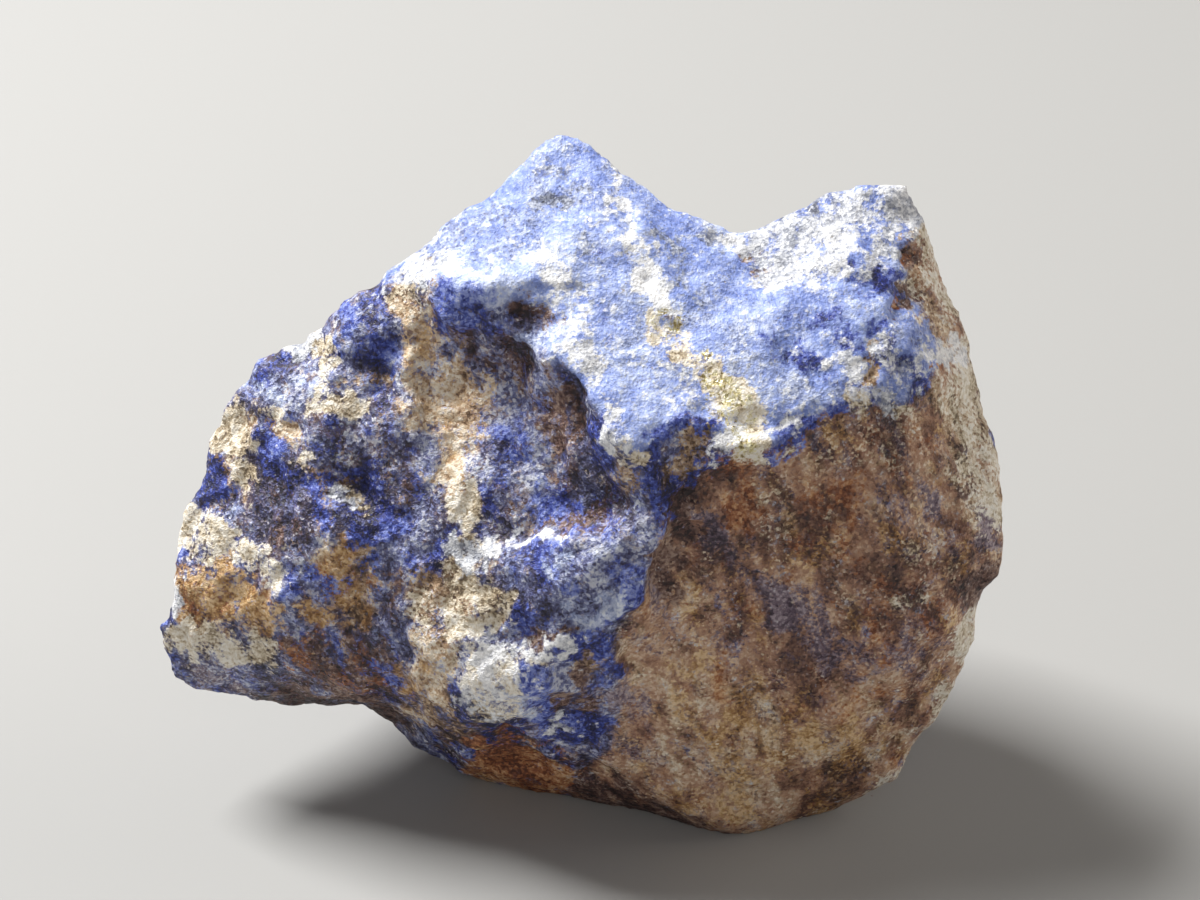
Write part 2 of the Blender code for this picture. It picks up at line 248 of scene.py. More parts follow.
def distance_into_patch(places, outline):
    """How far each place is inside a closed outline, in squares, and less than 0 outside it."""
    outline = np.array(outline, float)
    inside = np.zeros(len(places), bool)
    for start, end in zip(outline, np.roll(outline, -1, axis=0)):
        crosses = (start[1] > places[:, 1]) != (end[1] > places[:, 1])
        rise = end[1] - start[1] if end[1] != start[1] else NEXT_TO_NOTHING
        meets = start[0] + (places[:, 1] - start[1]) * (end[0] - start[0]) / rise
        inside ^= crosses & (places[:, 0] < meets)
    rim, _ = beside_line(places, np.vstack([outline, outline[:1]]))
    return np.where(inside, rim, -rim)


def all_marks(places, lines, patches=()):
    """The strongest of several marks at each place."""
    total = np.zeros(len(places))
    for radius, amount, line in lines:
        far, _ = beside_line(places, line)
        total = np.maximum(total, amount * soft_step(far, radius * GONE_BEYOND, radius * FULL_WITHIN))
    for soft, amount, outline in patches:
        far_in = distance_into_patch(places, outline)
        total = np.maximum(total, amount * soft_step(far_in, -soft, soft))
    return total


pushed = places.copy()
for axis in (0, 1):
    pushed[:, axis] += RAGGED * waves(points, RAGGED_LENGTH, 5 + axis, 2)
    pushed[:, axis] += FRAYED * waves(points, FRAYED_LENGTH, 7 + axis)
print("pushed about by up to", np.abs(pushed - places).max().round(1), "squares")

# %% [markdown]
# ## Where the show face ends
#
# The marks are seen from the front, so each one would also pass right through to the back. The front's marks are
# kept on the front and for a few millimetres round its edge, and the back has marks of its own.

# %% Tell the front from the back
ROUND_THE_EDGE, STILL_WHOLE = 0.009, 0.001

edge_points = np.unique(edges[facing[edges[:, 0]] * facing[edges[:, 1]] < 0])
edge_tree = kdtree.KDTree(len(edge_points))
for number in edge_points:
    edge_tree.insert(points[number], number)
edge_tree.balance()
from_edge = np.array([edge_tree.find(point)[2] for point in points])
front = np.where(facing > 0, 1.0, soft_step(from_edge, ROUND_THE_EDGE, STILL_WHOLE))
back = 1 - front
print("front points:", int((front > 0.5).sum()), "back points:", int((back > 0.5).sum()))

# %% [markdown]
# ## The faces of the stone
#
# Three breaks meet on the show side. The right face and the upper face are fairly even, and each is an outline in
# the view, a patch like any other mark. The rest of the front is the rugged left face.

# %% Outline the right and the upper face
# Each face, as a patch: how soft its edge is in squares, amount, and its outline
RIGHT_FACE = [(0.8, 1, [
    (8.8, -3), (10, -1.3), (12.5, 0.3), (15, 0.3), (17.6, 0.4), (19.7, 2), (23, 3.9), (26.2, 4.6), (30, 4.4),
    (32.6, 6.4), (34.4, 9), (33.2, 13), (31.2, 16), (30.6, 20), (32, 23), (45, 24), (45, -45), (2, -45), (-3, -34),
    (1.4, -29), (1.8, -25), (1.2, -20), (2.6, -16.6), (4.6, -14), (5.6, -10.5), (6.2, -6.5), (7.6, -3.2),
])]
UPPER_FACE = [(0.8, 1, [
    (-22, 16.4), (-16.6, 17.4), (-14.8, 15), (-10.5, 14.4), (-8.2, 15.2), (-4.8, 13.4), (-6.6, 11.4), (-3.8, 8.2),
    (-1, 4.8), (1.4, 1.6), (3.4, -1.2), (5.5, 0.2), (8, 3.4), (10.8, 2.8), (12.5, 0.6), (17.6, 0.6), (23, 4),
    (30, 4.6), (32.6, 6.6), (34.4, 9.2), (33.2, 13.2), (31, 16.2), (30.4, 20.2), (31.8, 23.2), (45, 24.2), (45, 40),
    (-22, 40),
])]
RIGHT_EVENNESS, UPPER_EVENNESS = 0.8, 0.85
right_face = all_marks(places, (), RIGHT_FACE) * front
upper_face = all_marks(places, (), UPPER_FACE) * front
rugged = 1 - np.maximum(RIGHT_EVENNESS * right_face, UPPER_EVENNESS * upper_face)
print("right face:", int(right_face.sum()), "points, upper face:", int(upper_face.sum()))

# %% [markdown]
# ## Cracks, ledges and bulges
#
# The larger breaks in the surface are marks too, with a height in millimetres. A groove is pressed in along its
# line, and a bulge or a crest is raised along it. A ledge is a step: the surface stands out to the right of its
# line, which is below a line that runs from left to right, and drops back on the other side.

# %% The grooves, the bulges and the ledges
MILLIMETRE = 0.001

# Each groove: radius in squares, depth in millimetres, and its line
GROOVES = [
    (1.2, 0.9, [(-2.8, 5.8), (-3.6, 3.4), (-4.6, 0.6), (-5, -1)]), (1.3, 0.8, [(-7.2, 13.8), (-5.6, 13)]),
    (1.1, 0.9, [(-25.8, -3.4), (-24.6, -3.6)]), (0.5, 0.6, [(-6, 24.4), (-4.2, 24.3)]),
    (0.6, 0.7, [(10.4, 20.8), (12, 20.9)]), (0.9, 1, [(31.2, 16.4), (31.9, 15.6)]),
    (0.7, 1.2, [(29.8, 15.2), (29.9, 14.2)]), (0.6, 0.8, [(30.6, 19.6), (31, 19.2)]),
    (1.4, 0.6, [(15.4, 19.4), (16.6, 18)]), (1.2, 0.6, [(-32.4, 1.8), (-31.2, 1)]),
    (1.2, 0.6, [(-37.2, 2.6), (-36.4, 1.8)]), (1.3, 0.4, [(-34.5, -0.5), (-33, -3.8), (-32, -7)]),
    (1.4, 0.5, [(-22, -9.5), (-19.5, -8.6), (-17.5, -9.8)]), (1.6, 0.5, [(-25.5, -15.5), (-24.5, -18.5)]),
    (1.8, 1.5, [(8.2, -4.5), (7.8, -8), (7.4, -12), (6.4, -14.5)]),
    (0.6, 0.5, [(14.5, -14.5), (16.5, -16.5), (16.5, -19), (14.8, -21)]), (0.7, 0.6, [(27.3, 12), (27, 8)]),
    (0.5, 0.3, [(20.5, 7.5), (22.5, 7.8), (25.5, 8.4)]), (0.5, 0.4, [(12.5, 3.2), (14.5, 2.2), (16.5, 3)]),
    (1.6, 0.8, [(-14, 11), (-11, 10.4), (-8.4, 9.6)]), (0.4, 0.3, [(-4.6, -14), (-1, -12), (2.6, -10.2)]),
    (0.4, 0.3, [(-4, -15.6), (-0.4, -13.8), (3, -11.8)]), (0.4, 0.3, [(-3.4, -17), (0.2, -15.4), (2.4, -14)]),
    (0.4, 0.3, [(-6, -12.6), (-2, -10.6), (1, -9.4)]), (2, 0.7, [(-16.6, 9), (-17, 4), (-15.4, 0)]),
    (1.2, 1, [(-20.6, 11), (-21.6, 8), (-23, 6)]),
]

# Each bulge or crest: radius in squares, height in millimetres, and its line
BULGES = [
    (5, 1.3, [(-3.5, -13.5), (-0.5, -12)]), (3.4, 1.3, [(-10.8, -23.4), (-8, -22.6)]),
    (1.6, 0.5, [(-8, -22.4), (-4, -20.4), (-0.6, -18.9)]), (2.6, 1.3, [(-14, 16), (-12, 15.6)]),
    (0.7, 0.8, [(5.4, -1.6), (6.2, -4), (6, -6.5), (5.6, -9)]), (0.8, 0.6, [(7.4, 3.2), (9, 3.6), (10.6, 3.1)]),
    (0.9, 0.8, [(4.2, -12.4), (3.2, -14.4), (1.6, -16.2), (-0.8, -17.7)]),
    (0.8, 0.4, [(0.4, -19.6), (0.8, -22), (0.8, -25)]), (2.2, 0.6, [(-21.5, 4), (-19, 3)]),
    (1.5, 0.6, [(21, 18.5), (24, 18), (26, 20)]), (1.6, 0.8, [(27.2, 26.2), (29, 25.8)]),
    (2.2, 0.5, [(-13, -3), (-13.4, -7), (-12, -11)]), (2, 0.5, [(-17, -19.5), (-18.4, -24)]),
]

# Each ledge: how far it stands out and drops back in millimetres, how wide both are in squares, and its line
LEDGES = [
    (0.5, 1.1, 2.4, 1, [(-8.6, -9.2), (-5, -8.4), (-2, -8.1), (1, -7.8), (3.2, -6.9)]),
    (0.5, 0.6, 3, 1.1, [(-15, -18.4), (-12.6, -18.9), (-9, -18.9), (-5, -18.5), (-2, -18.2)]),
    (0.2, 0.3, 2, 2, [(-43, -4.8), (-39.5, -6.2), (-36.4, -8.2), (-33, -9.4), (-30.8, -11)]),
    (0.4, 0.6, 1.8, 1, [(-26.6, -5.6), (-24, -6.8), (-21, -7), (-18.6, -6.6)]),
    (0.4, 0.6, 1.6, 0.9, [(-27.8, 8.6), (-25, 7.4), (-21.5, 8), (-19.2, 9.4)]),
    (0.3, 0.4, 1.6, 1, [(-34.6, 5.6), (-32.6, 3.6), (-30.4, 2.6)]),
    (0.4, 0.5, 1.6, 1, [(-31.6, -13), (-28.6, -12.6), (-26.4, -13.8)]),
    (0.3, 0.4, 1.4, 0.8, [(-12.4, -1.2), (-10.4, -2.2), (-8, -2), (-6.4, -3.4)]),
    (0.3, 0.4, 1.6, 1, [(12, -12.6), (15.4, -13.6), (17, -15.4)]),
    (0.3, 0.5, 1.4, 0.9, [(25, -13), (28, -12.6), (30.4, -13.6)]),
    (0.4, 0.6, 1.4, 0.9, [(-4.4, -27.8), (-2.4, -27.6), (-0.8, -26.6)]),
    (0.3, 0.5, 1.4, 1, [(-21.5, -17), (-19.4, -15.6), (-17, -16.2)]),
]

print(len(GROOVES), "grooves,", len(BULGES), "bulges and", len(LEDGES), "ledges")

# %% [markdown]
# ## Raise and press the surface
#
# Every point moves along its own normal, by the height of the marks and of the roughness together. The height fades
# out near the flat spot, so that the stone still stands on it. At a sharp corner a point can end up alone, like a
# needle, because the normals fan out there. A few rounds of smoothing put it back among its neighbours.

# %% Move the points
FADE_TO_FLAT = 0.0035
# A point this far off its neighbours' middle, in metres, is a needle. The others are smoothed a little
NEEDLE, SOFTENED, NEEDLE_ROUNDS = 0.00018, 0.05, 5
# The corners that are smoothed most: radius in squares, amount, and the place
POINTED_CORNERS = [(0.8, 1, [(29.3, 26.9)]), (1.2, 1, [(40.8, -10.6)])]


def relief(places, marks):
    """How far bulges go out, or grooves go in, at each place, in metres."""
    total = np.zeros(len(places))
    for radius, height, line in marks:
        far, _ = beside_line(places, line)
        total += height * MILLIMETRE * np.exp(-((far / radius) ** 2))
    return total


def steps(places, marks):
    """How far ledges go out and drop back at each place, in metres."""
    total = np.zeros(len(places))
    for out, drop, out_width, drop_width, line in marks:
        far, below = beside_line(places, line)
        stands_out = out * np.exp(-far / out_width)
        drops_back = -drop * np.exp(-far / drop_width)
        total += MILLIMETRE * np.where(below, stands_out, drops_back)
    return total


# Each kind of roughness, and how high it is on the rugged parts and on the even faces, in metres
rough_kinds = {
    "slab": (chips(drawn, 0.0070, 6), 0.00025, 0.00007),
    "swell": (waves(points, 0.0060, 1, 2), 0.00009, 0.00012),
    "ridge": (ridges(drawn, 0.0045, 2, 2), 0.00008, 0.00003),
    "flake": (chips(points, 0.0034, 3), 0.00013, 0.00004),
    "splinter": (chips(points, 0.0016, 4), 0.00009, 0.00003),
    "grain": (waves(points, 0.0011, 5, 2), 0.00005, 0.00003),
}
carved = (relief(pushed, BULGES) - relief(pushed, GROOVES) + steps(pushed, LEDGES)) * front
broken = sum(heights * (high * rugged + low * (1 - rugged)) for heights, high, low in rough_kinds.values())
height = carved + broken
lift_off = soft_step(points[:, 2], FLAT_SPOT_HEIGHT, FADE_TO_FLAT)
surface = points + normals * (height * lift_off)[:, None]

pointed = all_marks(places, POINTED_CORNERS)
for _ in range(NEEDLE_ROUNDS):
    among = neighbour_average(surface, edges)
    needle = soft_step(np.linalg.norm(surface - among, axis=1), NEEDLE * 0.5, NEEDLE)
    share = np.maximum(np.maximum(SOFTENED, needle), pointed) * (lift_off > 0)
    surface += (among - surface) * share[:, None]
move_points(stone.data, surface)
print("relief in mm:", (height.min() * 1000).round(2), "to", (height.max() * 1000).round(2))

# %% [markdown]
# ## Seams and stains
#
# The colours are marks as well, one list for each mineral. White is calcite, and cream is calcite stained by the host
# rock. Tan and umber are the host rock itself, light and dark, and mauve is host rock with some blue in it. Ochre
# and rust are where its iron has weathered. Deep is the richest lazurite, haze is blue under a sugary crust, and
# slate is blue with grey rock in it. Gold is pyrite, with the yellow stain round it. Some marks are painted light
# and shade as well: white and cream on ledge crests are painted highlights, cream on the right edge is painted light,
# umber in cracks and on a shaded slope is painted shade, haze on the top face is painted sheen, and ochre and rust
# on the underside are partly a painted reddish reflection.

# %% The front's seams and stains
# Each mark: radius in squares, amount, and its line
FRONT_LINES = {
    "white": [
        # The second line here is a painted highlight on the low bulge's upper face
        (0.7, 1, [(1, 29), (1.6, 27), (2.2, 25), (2.6, 23), (3.2, 20.5)]), (1.5, 0.6, [(-11, -21.4), (-8.2, -22.8)]),
        (1, 1.5, [(3.4, 20), (4.4, 18.4), (5, 16.8), (5.8, 15.6), (6.4, 14.4)]),
        (1.5, 0.6, [(-7, 21), (-5.6, 18.6), (-4, 16.6), (-3, 14.8)]), (1.2, 0.9, [(-2.6, 13.6), (-1.6, 12.4)]),
        (1.3, 0.7, [(-3, 10.4), (-1.6, 8.6), (-0.2, 7), (0.6, 5.4), (1.2, 3.4), (2, 1.4)]),
        (1.6, 0.7, [(-19.8, 17.4), (-17.6, 18.2), (-15.6, 18)]), (1.2, 0.5, [(-21, 18), (-18, 20.6), (-14.5, 23.4)]),
        (1, 1, [(12.6, 21.4), (14.4, 20.8), (16, 21.6)]), (1.4, 0.8, [(-14.4, -10.2), (-12.4, -10.6), (-11, -10.4)]),
        (1.1, 0.7, [(24, 9.2), (25.4, 8), (25.8, 6.4)]), (0.9, 0.8, [(-12.6, -23.4), (-11.4, -25), (-10.6, -26.2)]),
        (1.2, 0.9, [(31.5, 10.4), (33.2, 10), (35, 9.6)]), (0.5, 0.8, [(-4.2, -27.6), (-2.8, -27.4), (-1.2, -26.9)]),
        (2.2, 0.5, [(28, 9.4), (30.6, 7.4), (28.6, 5.6)]), (0.9, 0.8, [(-30.5, 9.8), (-28.9, 10.6), (-27.8, 11.4)]),
        # The first line here is a painted highlight along the crest of the upper ledge
        (0.4, 1.1, [(-8.4, -9.6), (-6.5, -8.9), (-5, -8.6), (-3.4, -8.4)]), (0.9, 0.8, [(-26.4, -4.2), (-25.6, -5)]),
        # A painted highlight along the crest of the lower ledge
        (0.7, 1.1, [(-11.5, -19.8), (-9, -19.6), (-6, -19.3), (-3.5, -19), (-1.8, -18.6)]),
        (0.8, 0.7, [(11, -0.6), (12.4, 1.2), (14, 1.8)]), (1, 0.8, [(-43, -13.6), (-43.4, -15.6)]),
        (0.5, 0.8, [(16.4, 1.5), (18.8, 2), (20.2, 3.4), (22.6, 4.8)]),
    ],
    "cream": [
        (1.1, 1.2, [(5.4, 13.2), (6.6, 12), (7.8, 10.6), (9.4, 9.2), (10.8, 8.2), (11.8, 7.2), (12.6, 6.4)]),
        (1.8, 0.85, [(12.2, 6), (13.2, 4), (15, 2.4), (15.6, 0.8)]), (0.9, 1, [(-30.2, -0.8), (-29.6, -1.8)]),
        (0.8, 1, [(-27.8, 10.6), (-27.4, 8.8), (-26.8, 6.6), (-26.4, 4.8), (-28.2, 3.8)]),
        (1.1, 0.8, [(-26, 4.8), (-24, 4)]), (1.5, 1, [(-38.6, 3.6), (-37, 4), (-35.8, 3.4), (-38.8, 1.6), (-36, 1)]),
        # The second line here lightens the right edge, which faces away from the key lamp: painted light
        (0.8, 0.9, [(-34, 3.8), (-32.4, 3.4)]), (2, 0.56, [(35.4, 8), (36.6, 4), (37.8, -1), (37.8, -6)]),
        (0.9, 0.8, [(-35.6, -1.2), (-35, -3.4)]), (1.6, 0.9, [(-41.5, -18.8), (-38, -19.4), (-34, -20.4)]),
        (0.7, 1, [(-25.2, -4.6), (-24.2, -5.4)]), (1.2, 0.9, [(-13.6, -12), (-12, -14.2), (-10.4, -15.2)]),
        (1.6, 0.9, [(-13.8, -5.2), (-13.4, -7), (-13, -8.8)]), (0.7, 0.9, [(1.4, 0.4), (2.4, -0.6), (3.8, -1.6)]),
        # The first line here is a painted highlight on the lower ledge's crest
        (0.9, 1.1, [(-14.8, -18.9), (-13, -18), (-11.4, -17.2), (-9.4, -16)]), (0.9, 0.8, [(25.2, 5.6), (26.6, 5)]),
        (1.6, 0.8, [(37.6, -17), (37, -20), (35.8, -24), (33.6, -28.4), (31, -31.6), (29, -34)]),
        (1, 0.6, [(30.6, -14.6), (32, -15.6)]), (0.8, 0.8, [(29.6, 4.2), (30.6, 3.6)]),
    ],
    "tan": [
        (1.4, 0.9, [(15.4, 19.6), (16.4, 18.4), (16.8, 17.4)]), (0.8, 0.7, [(2.4, -2.6), (3.6, -3.4), (2.6, -4.6)]),
        (1.1, 0.9, [(-37, 2.4), (-36.2, 1.9)]), (2.2, 0.9, [(-26.2, -11.2), (-25.2, -13.4), (-24.6, -16.6)]),
        (0.9, 0.9, [(-32.2, 1.8), (-31.2, 1.2)]), (2, 0.75, [(35.4, 5.6), (36, 2), (37.2, -3), (37.2, -7)]),
        (1, 0.8, [(-37, -1.4), (-36.6, -3.6)]), (0.8, 0.9, [(-26, -3.6), (-25.2, -3.2), (-24.4, -3.6)]),
        (1, 0.8, [(-18.2, -12), (-17.6, -13)]), (0.8, 0.8, [(-24.6, 6.4), (-23.4, 7.4), (-22, 7)]),
        (1.4, 0.9, [(33.2, 13.2), (33.8, 12.2)]), (0.8, 0.8, [(7.6, -3), (7.2, -5.4), (6.8, -7.6)]),
        (1.2, 0.9, [(9.2, 1.6), (8.8, 0), (8, -1.8)]), (0.6, 0.8, [(26.8, 11), (27, 9), (26.9, 6.8)]),
        (1, 0.7, [(-28, -2), (-27.6, -7)]), (0.6, 1.1, [(-1.8, -22), (-0.6, -20.9)]),
    ],
    "ochre": [
        (1.8, 1, [(-26.2, -11.2), (-25.2, -13.4), (-24.6, -16.6)]), (1.2, 0.8, [(-29.4, -16), (-27.8, -17)]),
        (2.2, 0.5, [(-18.4, 12), (-17.6, 7), (-16.4, 1)]), (1.4, 0.6, [(-18.6, -20), (-18.8, -24)]),
    ],
    "umber": [
        # Many of these lines lie in grooves and cracks and just above ledges: painted shade in those creases, over
        # dark host rock
        (1.3, 0.75, [(-7.6, 14), (-6.2, 13.4), (-5, 12.8)]), (1.5, 0.9, [(38.8, -12.2), (37.8, -13.6), (37, -14.6)]),
        (1, 0.9, [(-2.8, 5.6), (-3.8, 3.4), (-4.8, 0.6), (-5.4, -2)]), (0.9, 0.6, [(-13.2, -27.6), (-15.6, -28.8)]),
        (2, 0.7, [(-13.8, 11), (-11, 10.6), (-8.6, 9.6)]), (1.6, 0.9, [(8.4, -5), (8, -8), (7.4, -11), (7, -14)]),
        (0.7, 0.9, [(31, 19.4), (31.6, 18.8)]), (0.9, 0.9, [(-4.4, -7.3), (-2, -6.6), (0.2, -5.2)]),
        (0.9, 0.8, [(31.2, 15.8), (30.2, 14.6)]), (1.3, 0.5, [(24, -13.6), (27, -13), (29.6, -13.8)]),
        (2, 1, [(-31, -25), (-26, -25.4), (-21.5, -25.8)]), (1.4, 0.6, [(12, -1.4), (11, -3.4), (12, -6.4)]),
        (0.35, 1.1, [(-7.4, -18.7), (-5.4, -18.5), (-4, -18.2), (-2.6, -17.8)]),
        (0.7, 0.7, [(7.4, 13.8), (8.2, 13.4)]), (0.7, 0.7, [(35.8, 0.6), (36.6, -1.6)]),
        # The second line here darkens a slope that is in shade: painted shade
        (0.7, 0.7, [(36.8, -3.8), (37, -4.6)]), (2.4, 0.5, [(-33, -3.4), (-31.6, -8)]),
    ],
    "deep": [
        (0.8, 1.2, [(9, -2.8), (10.4, -1.4), (12.6, 0.2)]), (1.6, 0.6, [(-14.6, 15), (-12.5, 14.4), (-10.2, 14.8)]),
        (0.8, 1.2, [(15.8, 0.2), (18.4, 0.8), (19.8, 2.2), (22, 3.4), (24, 4.2)]), (0.9, 0.8, [(-41.4, -18.4)]),
        (1.1, 1, [(5, -0.6), (6, -3.6), (6, -6.4), (5.6, -9)]), (1.1, 1, [(-3.9, -28), (-1.4, -27.8), (0.4, -27.2)]),
        (0.7, 1.1, [(6, 0.6), (7.2, 2.4), (9, 3.4), (11, 3)]), (1.8, 0.62, [(20.6, 12.2), (22.4, 12), (24.6, 11.4)]),
        (0.8, 1.3, [(4, -12.2), (3.4, -14.2), (2, -15.8), (0.4, -17.4), (-1.4, -18.2)]),
        (1, 1.1, [(0, -18.6), (-2, -19.9), (-4.2, -20.8), (-6.2, -21.8), (-7.6, -23.2)]),
        (0.7, 0.7, [(0.4, -19.4), (0.6, -21.6), (0.6, -23.4)]), (0.8, 0.8, [(23.4, 4.4), (26.4, 4.6), (27.4, 5.4)]),
        (0.8, 0.9, [(-6.2, -25.2), (-4.8, -26)]), (1.6, 0.7, [(-19.4, -10.6), (-17.6, -11.4), (-15.4, -10.6)]),
        (1, 1.1, [(-13.6, -24), (-12.6, -26.2), (-10.8, -27.6), (-8.4, -28)]), (1.6, 0.6, [(-9.6, 2), (-8, 0.5)]),
        (0.7, 0.8, [(-11.6, -23.6), (-11.8, -25.6)]), (1.5, 0.6, [(-26.4, 14), (-23.5, 12.6), (-21.4, 13.8)]),
        (1.8, 0.6, [(-14, 12.6), (-11.5, 12.8), (-9.8, 13.2)]), (1.2, 0.9, [(-27, 9.8), (-24.5, 9.6), (-22, 11.2)]),
        (2, 0.45, [(17, 9.6), (20, 9), (24, 8)]), (1.2, 0.7, [(-6.8, -5.6), (-4.2, -6.2), (-2.2, -5.2)]),
        (1.2, 1, [(26.4, 17.2), (28, 16.4), (29.2, 17)]), (1.4, 0.8, [(-38.8, -1), (-38.4, -4), (-40, -4.8)]),
        (0.7, 0.8, [(27.4, 12.6), (28.2, 11.4)]), (1, 0.8, [(-33.4, 1.4), (-33, -1.5), (-31.5, -3)]),
        (1.6, 0.7, [(28.8, 9), (30.6, 7.8), (32.4, 7)]), (1.3, 0.7, [(-28.4, -12.8), (-26.8, -13.8)]),
        (1.4, 0.7, [(-34.6, 8.8), (-32, 7.8)]), (1.2, 0.8, [(-29.2, -2.6), (-27.4, -3.4)]),
        (1.2, 0.9, [(-27.8, -6), (-25.6, -7.4), (-24.8, -8.8), (-22.4, -7.6), (-19.4, -7.4)]),
        (1, 0.8, [(-23.6, -2.2), (-22.8, -3.4)]), (1.2, 0.8, [(-31.2, -12.6), (-30.6, -14)]),
        (0.9, 0.8, [(-41.6, -9.4), (-42.2, -11)]), (1.3, 0.9, [(-43.8, -17.4), (-43.6, -20)]),
        (1.2, 0.6, [(-22, -22), (-20, -23.4)]), (0.6, 0.9, [(38.9, 1.8), (39.4, 0.4)]),
        (1.4, 0.7, [(-1, 2.4), (0.8, -1)]),
    ],
    "slate": [
        (0.8, 1, [(-6.2, 24.3), (-4.4, 24.2)]), (0.6, 0.9, [(21.6, 24.4), (22.6, 24.2)]),
        (0.8, 1, [(10.2, 20.6), (11.6, 20.7)]), (0.6, 0.9, [(28.4, 21.8), (29.4, 21.6)]),
        (1, 0.7, [(2, 22.4), (3.4, 21.4)]),
    ],
    "haze": [
        # The second line here is a painted highlight on the low bulge
        (2.6, 0.6, [(-16, 21.2), (-13, 22.4), (-10, 22.8), (-8, 21.2)]), (1.8, 0.5, [(-11, -24.2), (-8.6, -24.8)]),
        (1.6, 0.7, [(-18, 19.6), (-14, 19.4), (-11.5, 18.4)]), (1, 0.9, [(-7.4, 11), (-5.4, 11.2), (-3.4, 11.6)]),
        (2.6, 0.6, [(11, 13), (14.5, 13), (18, 14.2)]), (1.6, 0.6, [(-34, 6.6), (-31.6, 5.4), (-29.4, 6)]),
        (1.2, 0.6, [(28.6, 10.6), (30.4, 10)]), (0.8, 0.8, [(3.2, -13.9), (2, -15), (0.6, -16.4), (-1.6, -16.8)]),
        (0.7, 0.4, [(-5, -12), (-1, -10.4), (2.4, -9.6)]), (0.7, 0.5, [(-3, -14.6), (1, -13.6), (3.2, -13)]),
    ],
    "gold": [
        (1.2, 0.52, [(6, 13), (6.6, 11.8)]), (1.8, 0.54, [(13, 3.8), (14.2, 2.6), (15.6, 1.4)]),
        (1.2, 0.48, [(11, 8.2), (13, 6.6)]),
    ],
    "rust": [
        (2.2, 0.34, [(-39.5, -13.8), (-35.6, -15.2)]), (1.9, 0.55, [(13.8, -1.6), (14.6, -3.6), (13.8, -6.4)]),
        (1.7, 0.3, [(-26, -11.6), (-25, -14.6)]), (1.4, 0.5, [(27.6, -18), (28.2, -19.6)]), (0.5, 0.9, [(31, 19.2)]),
        (2.5, 0.36, [(-29.5, -20.5), (-24, -21.5)]), (1.5, 0.55, [(27.6, -14.8), (27.8, -15.6)]),
        (1.8, 0.5, [(25.6, -4), (24.6, -7.4)]), (0.4, 0.9, [(33.8, 8.2)]), (1.6, 0.45, [(26.4, -23.6), (24.6, -26)]),
        (1.2, 0.5, [(26.8, -10.4), (26.4, -11.6)]), (1.2, 0.5, [(12.6, -21.6), (12.2, -23.6)]),
        (0.5, 0.9, [(29.6, 15.4), (30, 14.4)]), (1.8, 0.45, [(21, -6), (22.4, -9.8)]),
    ],
    "mauve": [
        (2.4, 0.8, [(19, -17), (22, -18.6), (24.6, -20.2)]), (1.5, 0.8, [(28.6, -20.4), (30.6, -21.2)]),
        (1.2, 0.7, [(11.2, -8), (11.6, -9)]), (1.2, 0.6, [(32.5, -3), (33, -6)]), (1.4, 0.7, [(29, -3.6), (30, -6)]),
        (1.8, 0.6, [(17, -14.6), (20.6, -14.4)]), (1.4, 0.6, [(5.6, -14.6), (6.6, -18)]),
        (2, 0.6, [(14, -11), (13, -14)]), (1.1, 0.7, [(38.6, -6.6), (39, -9)]),
    ],
}

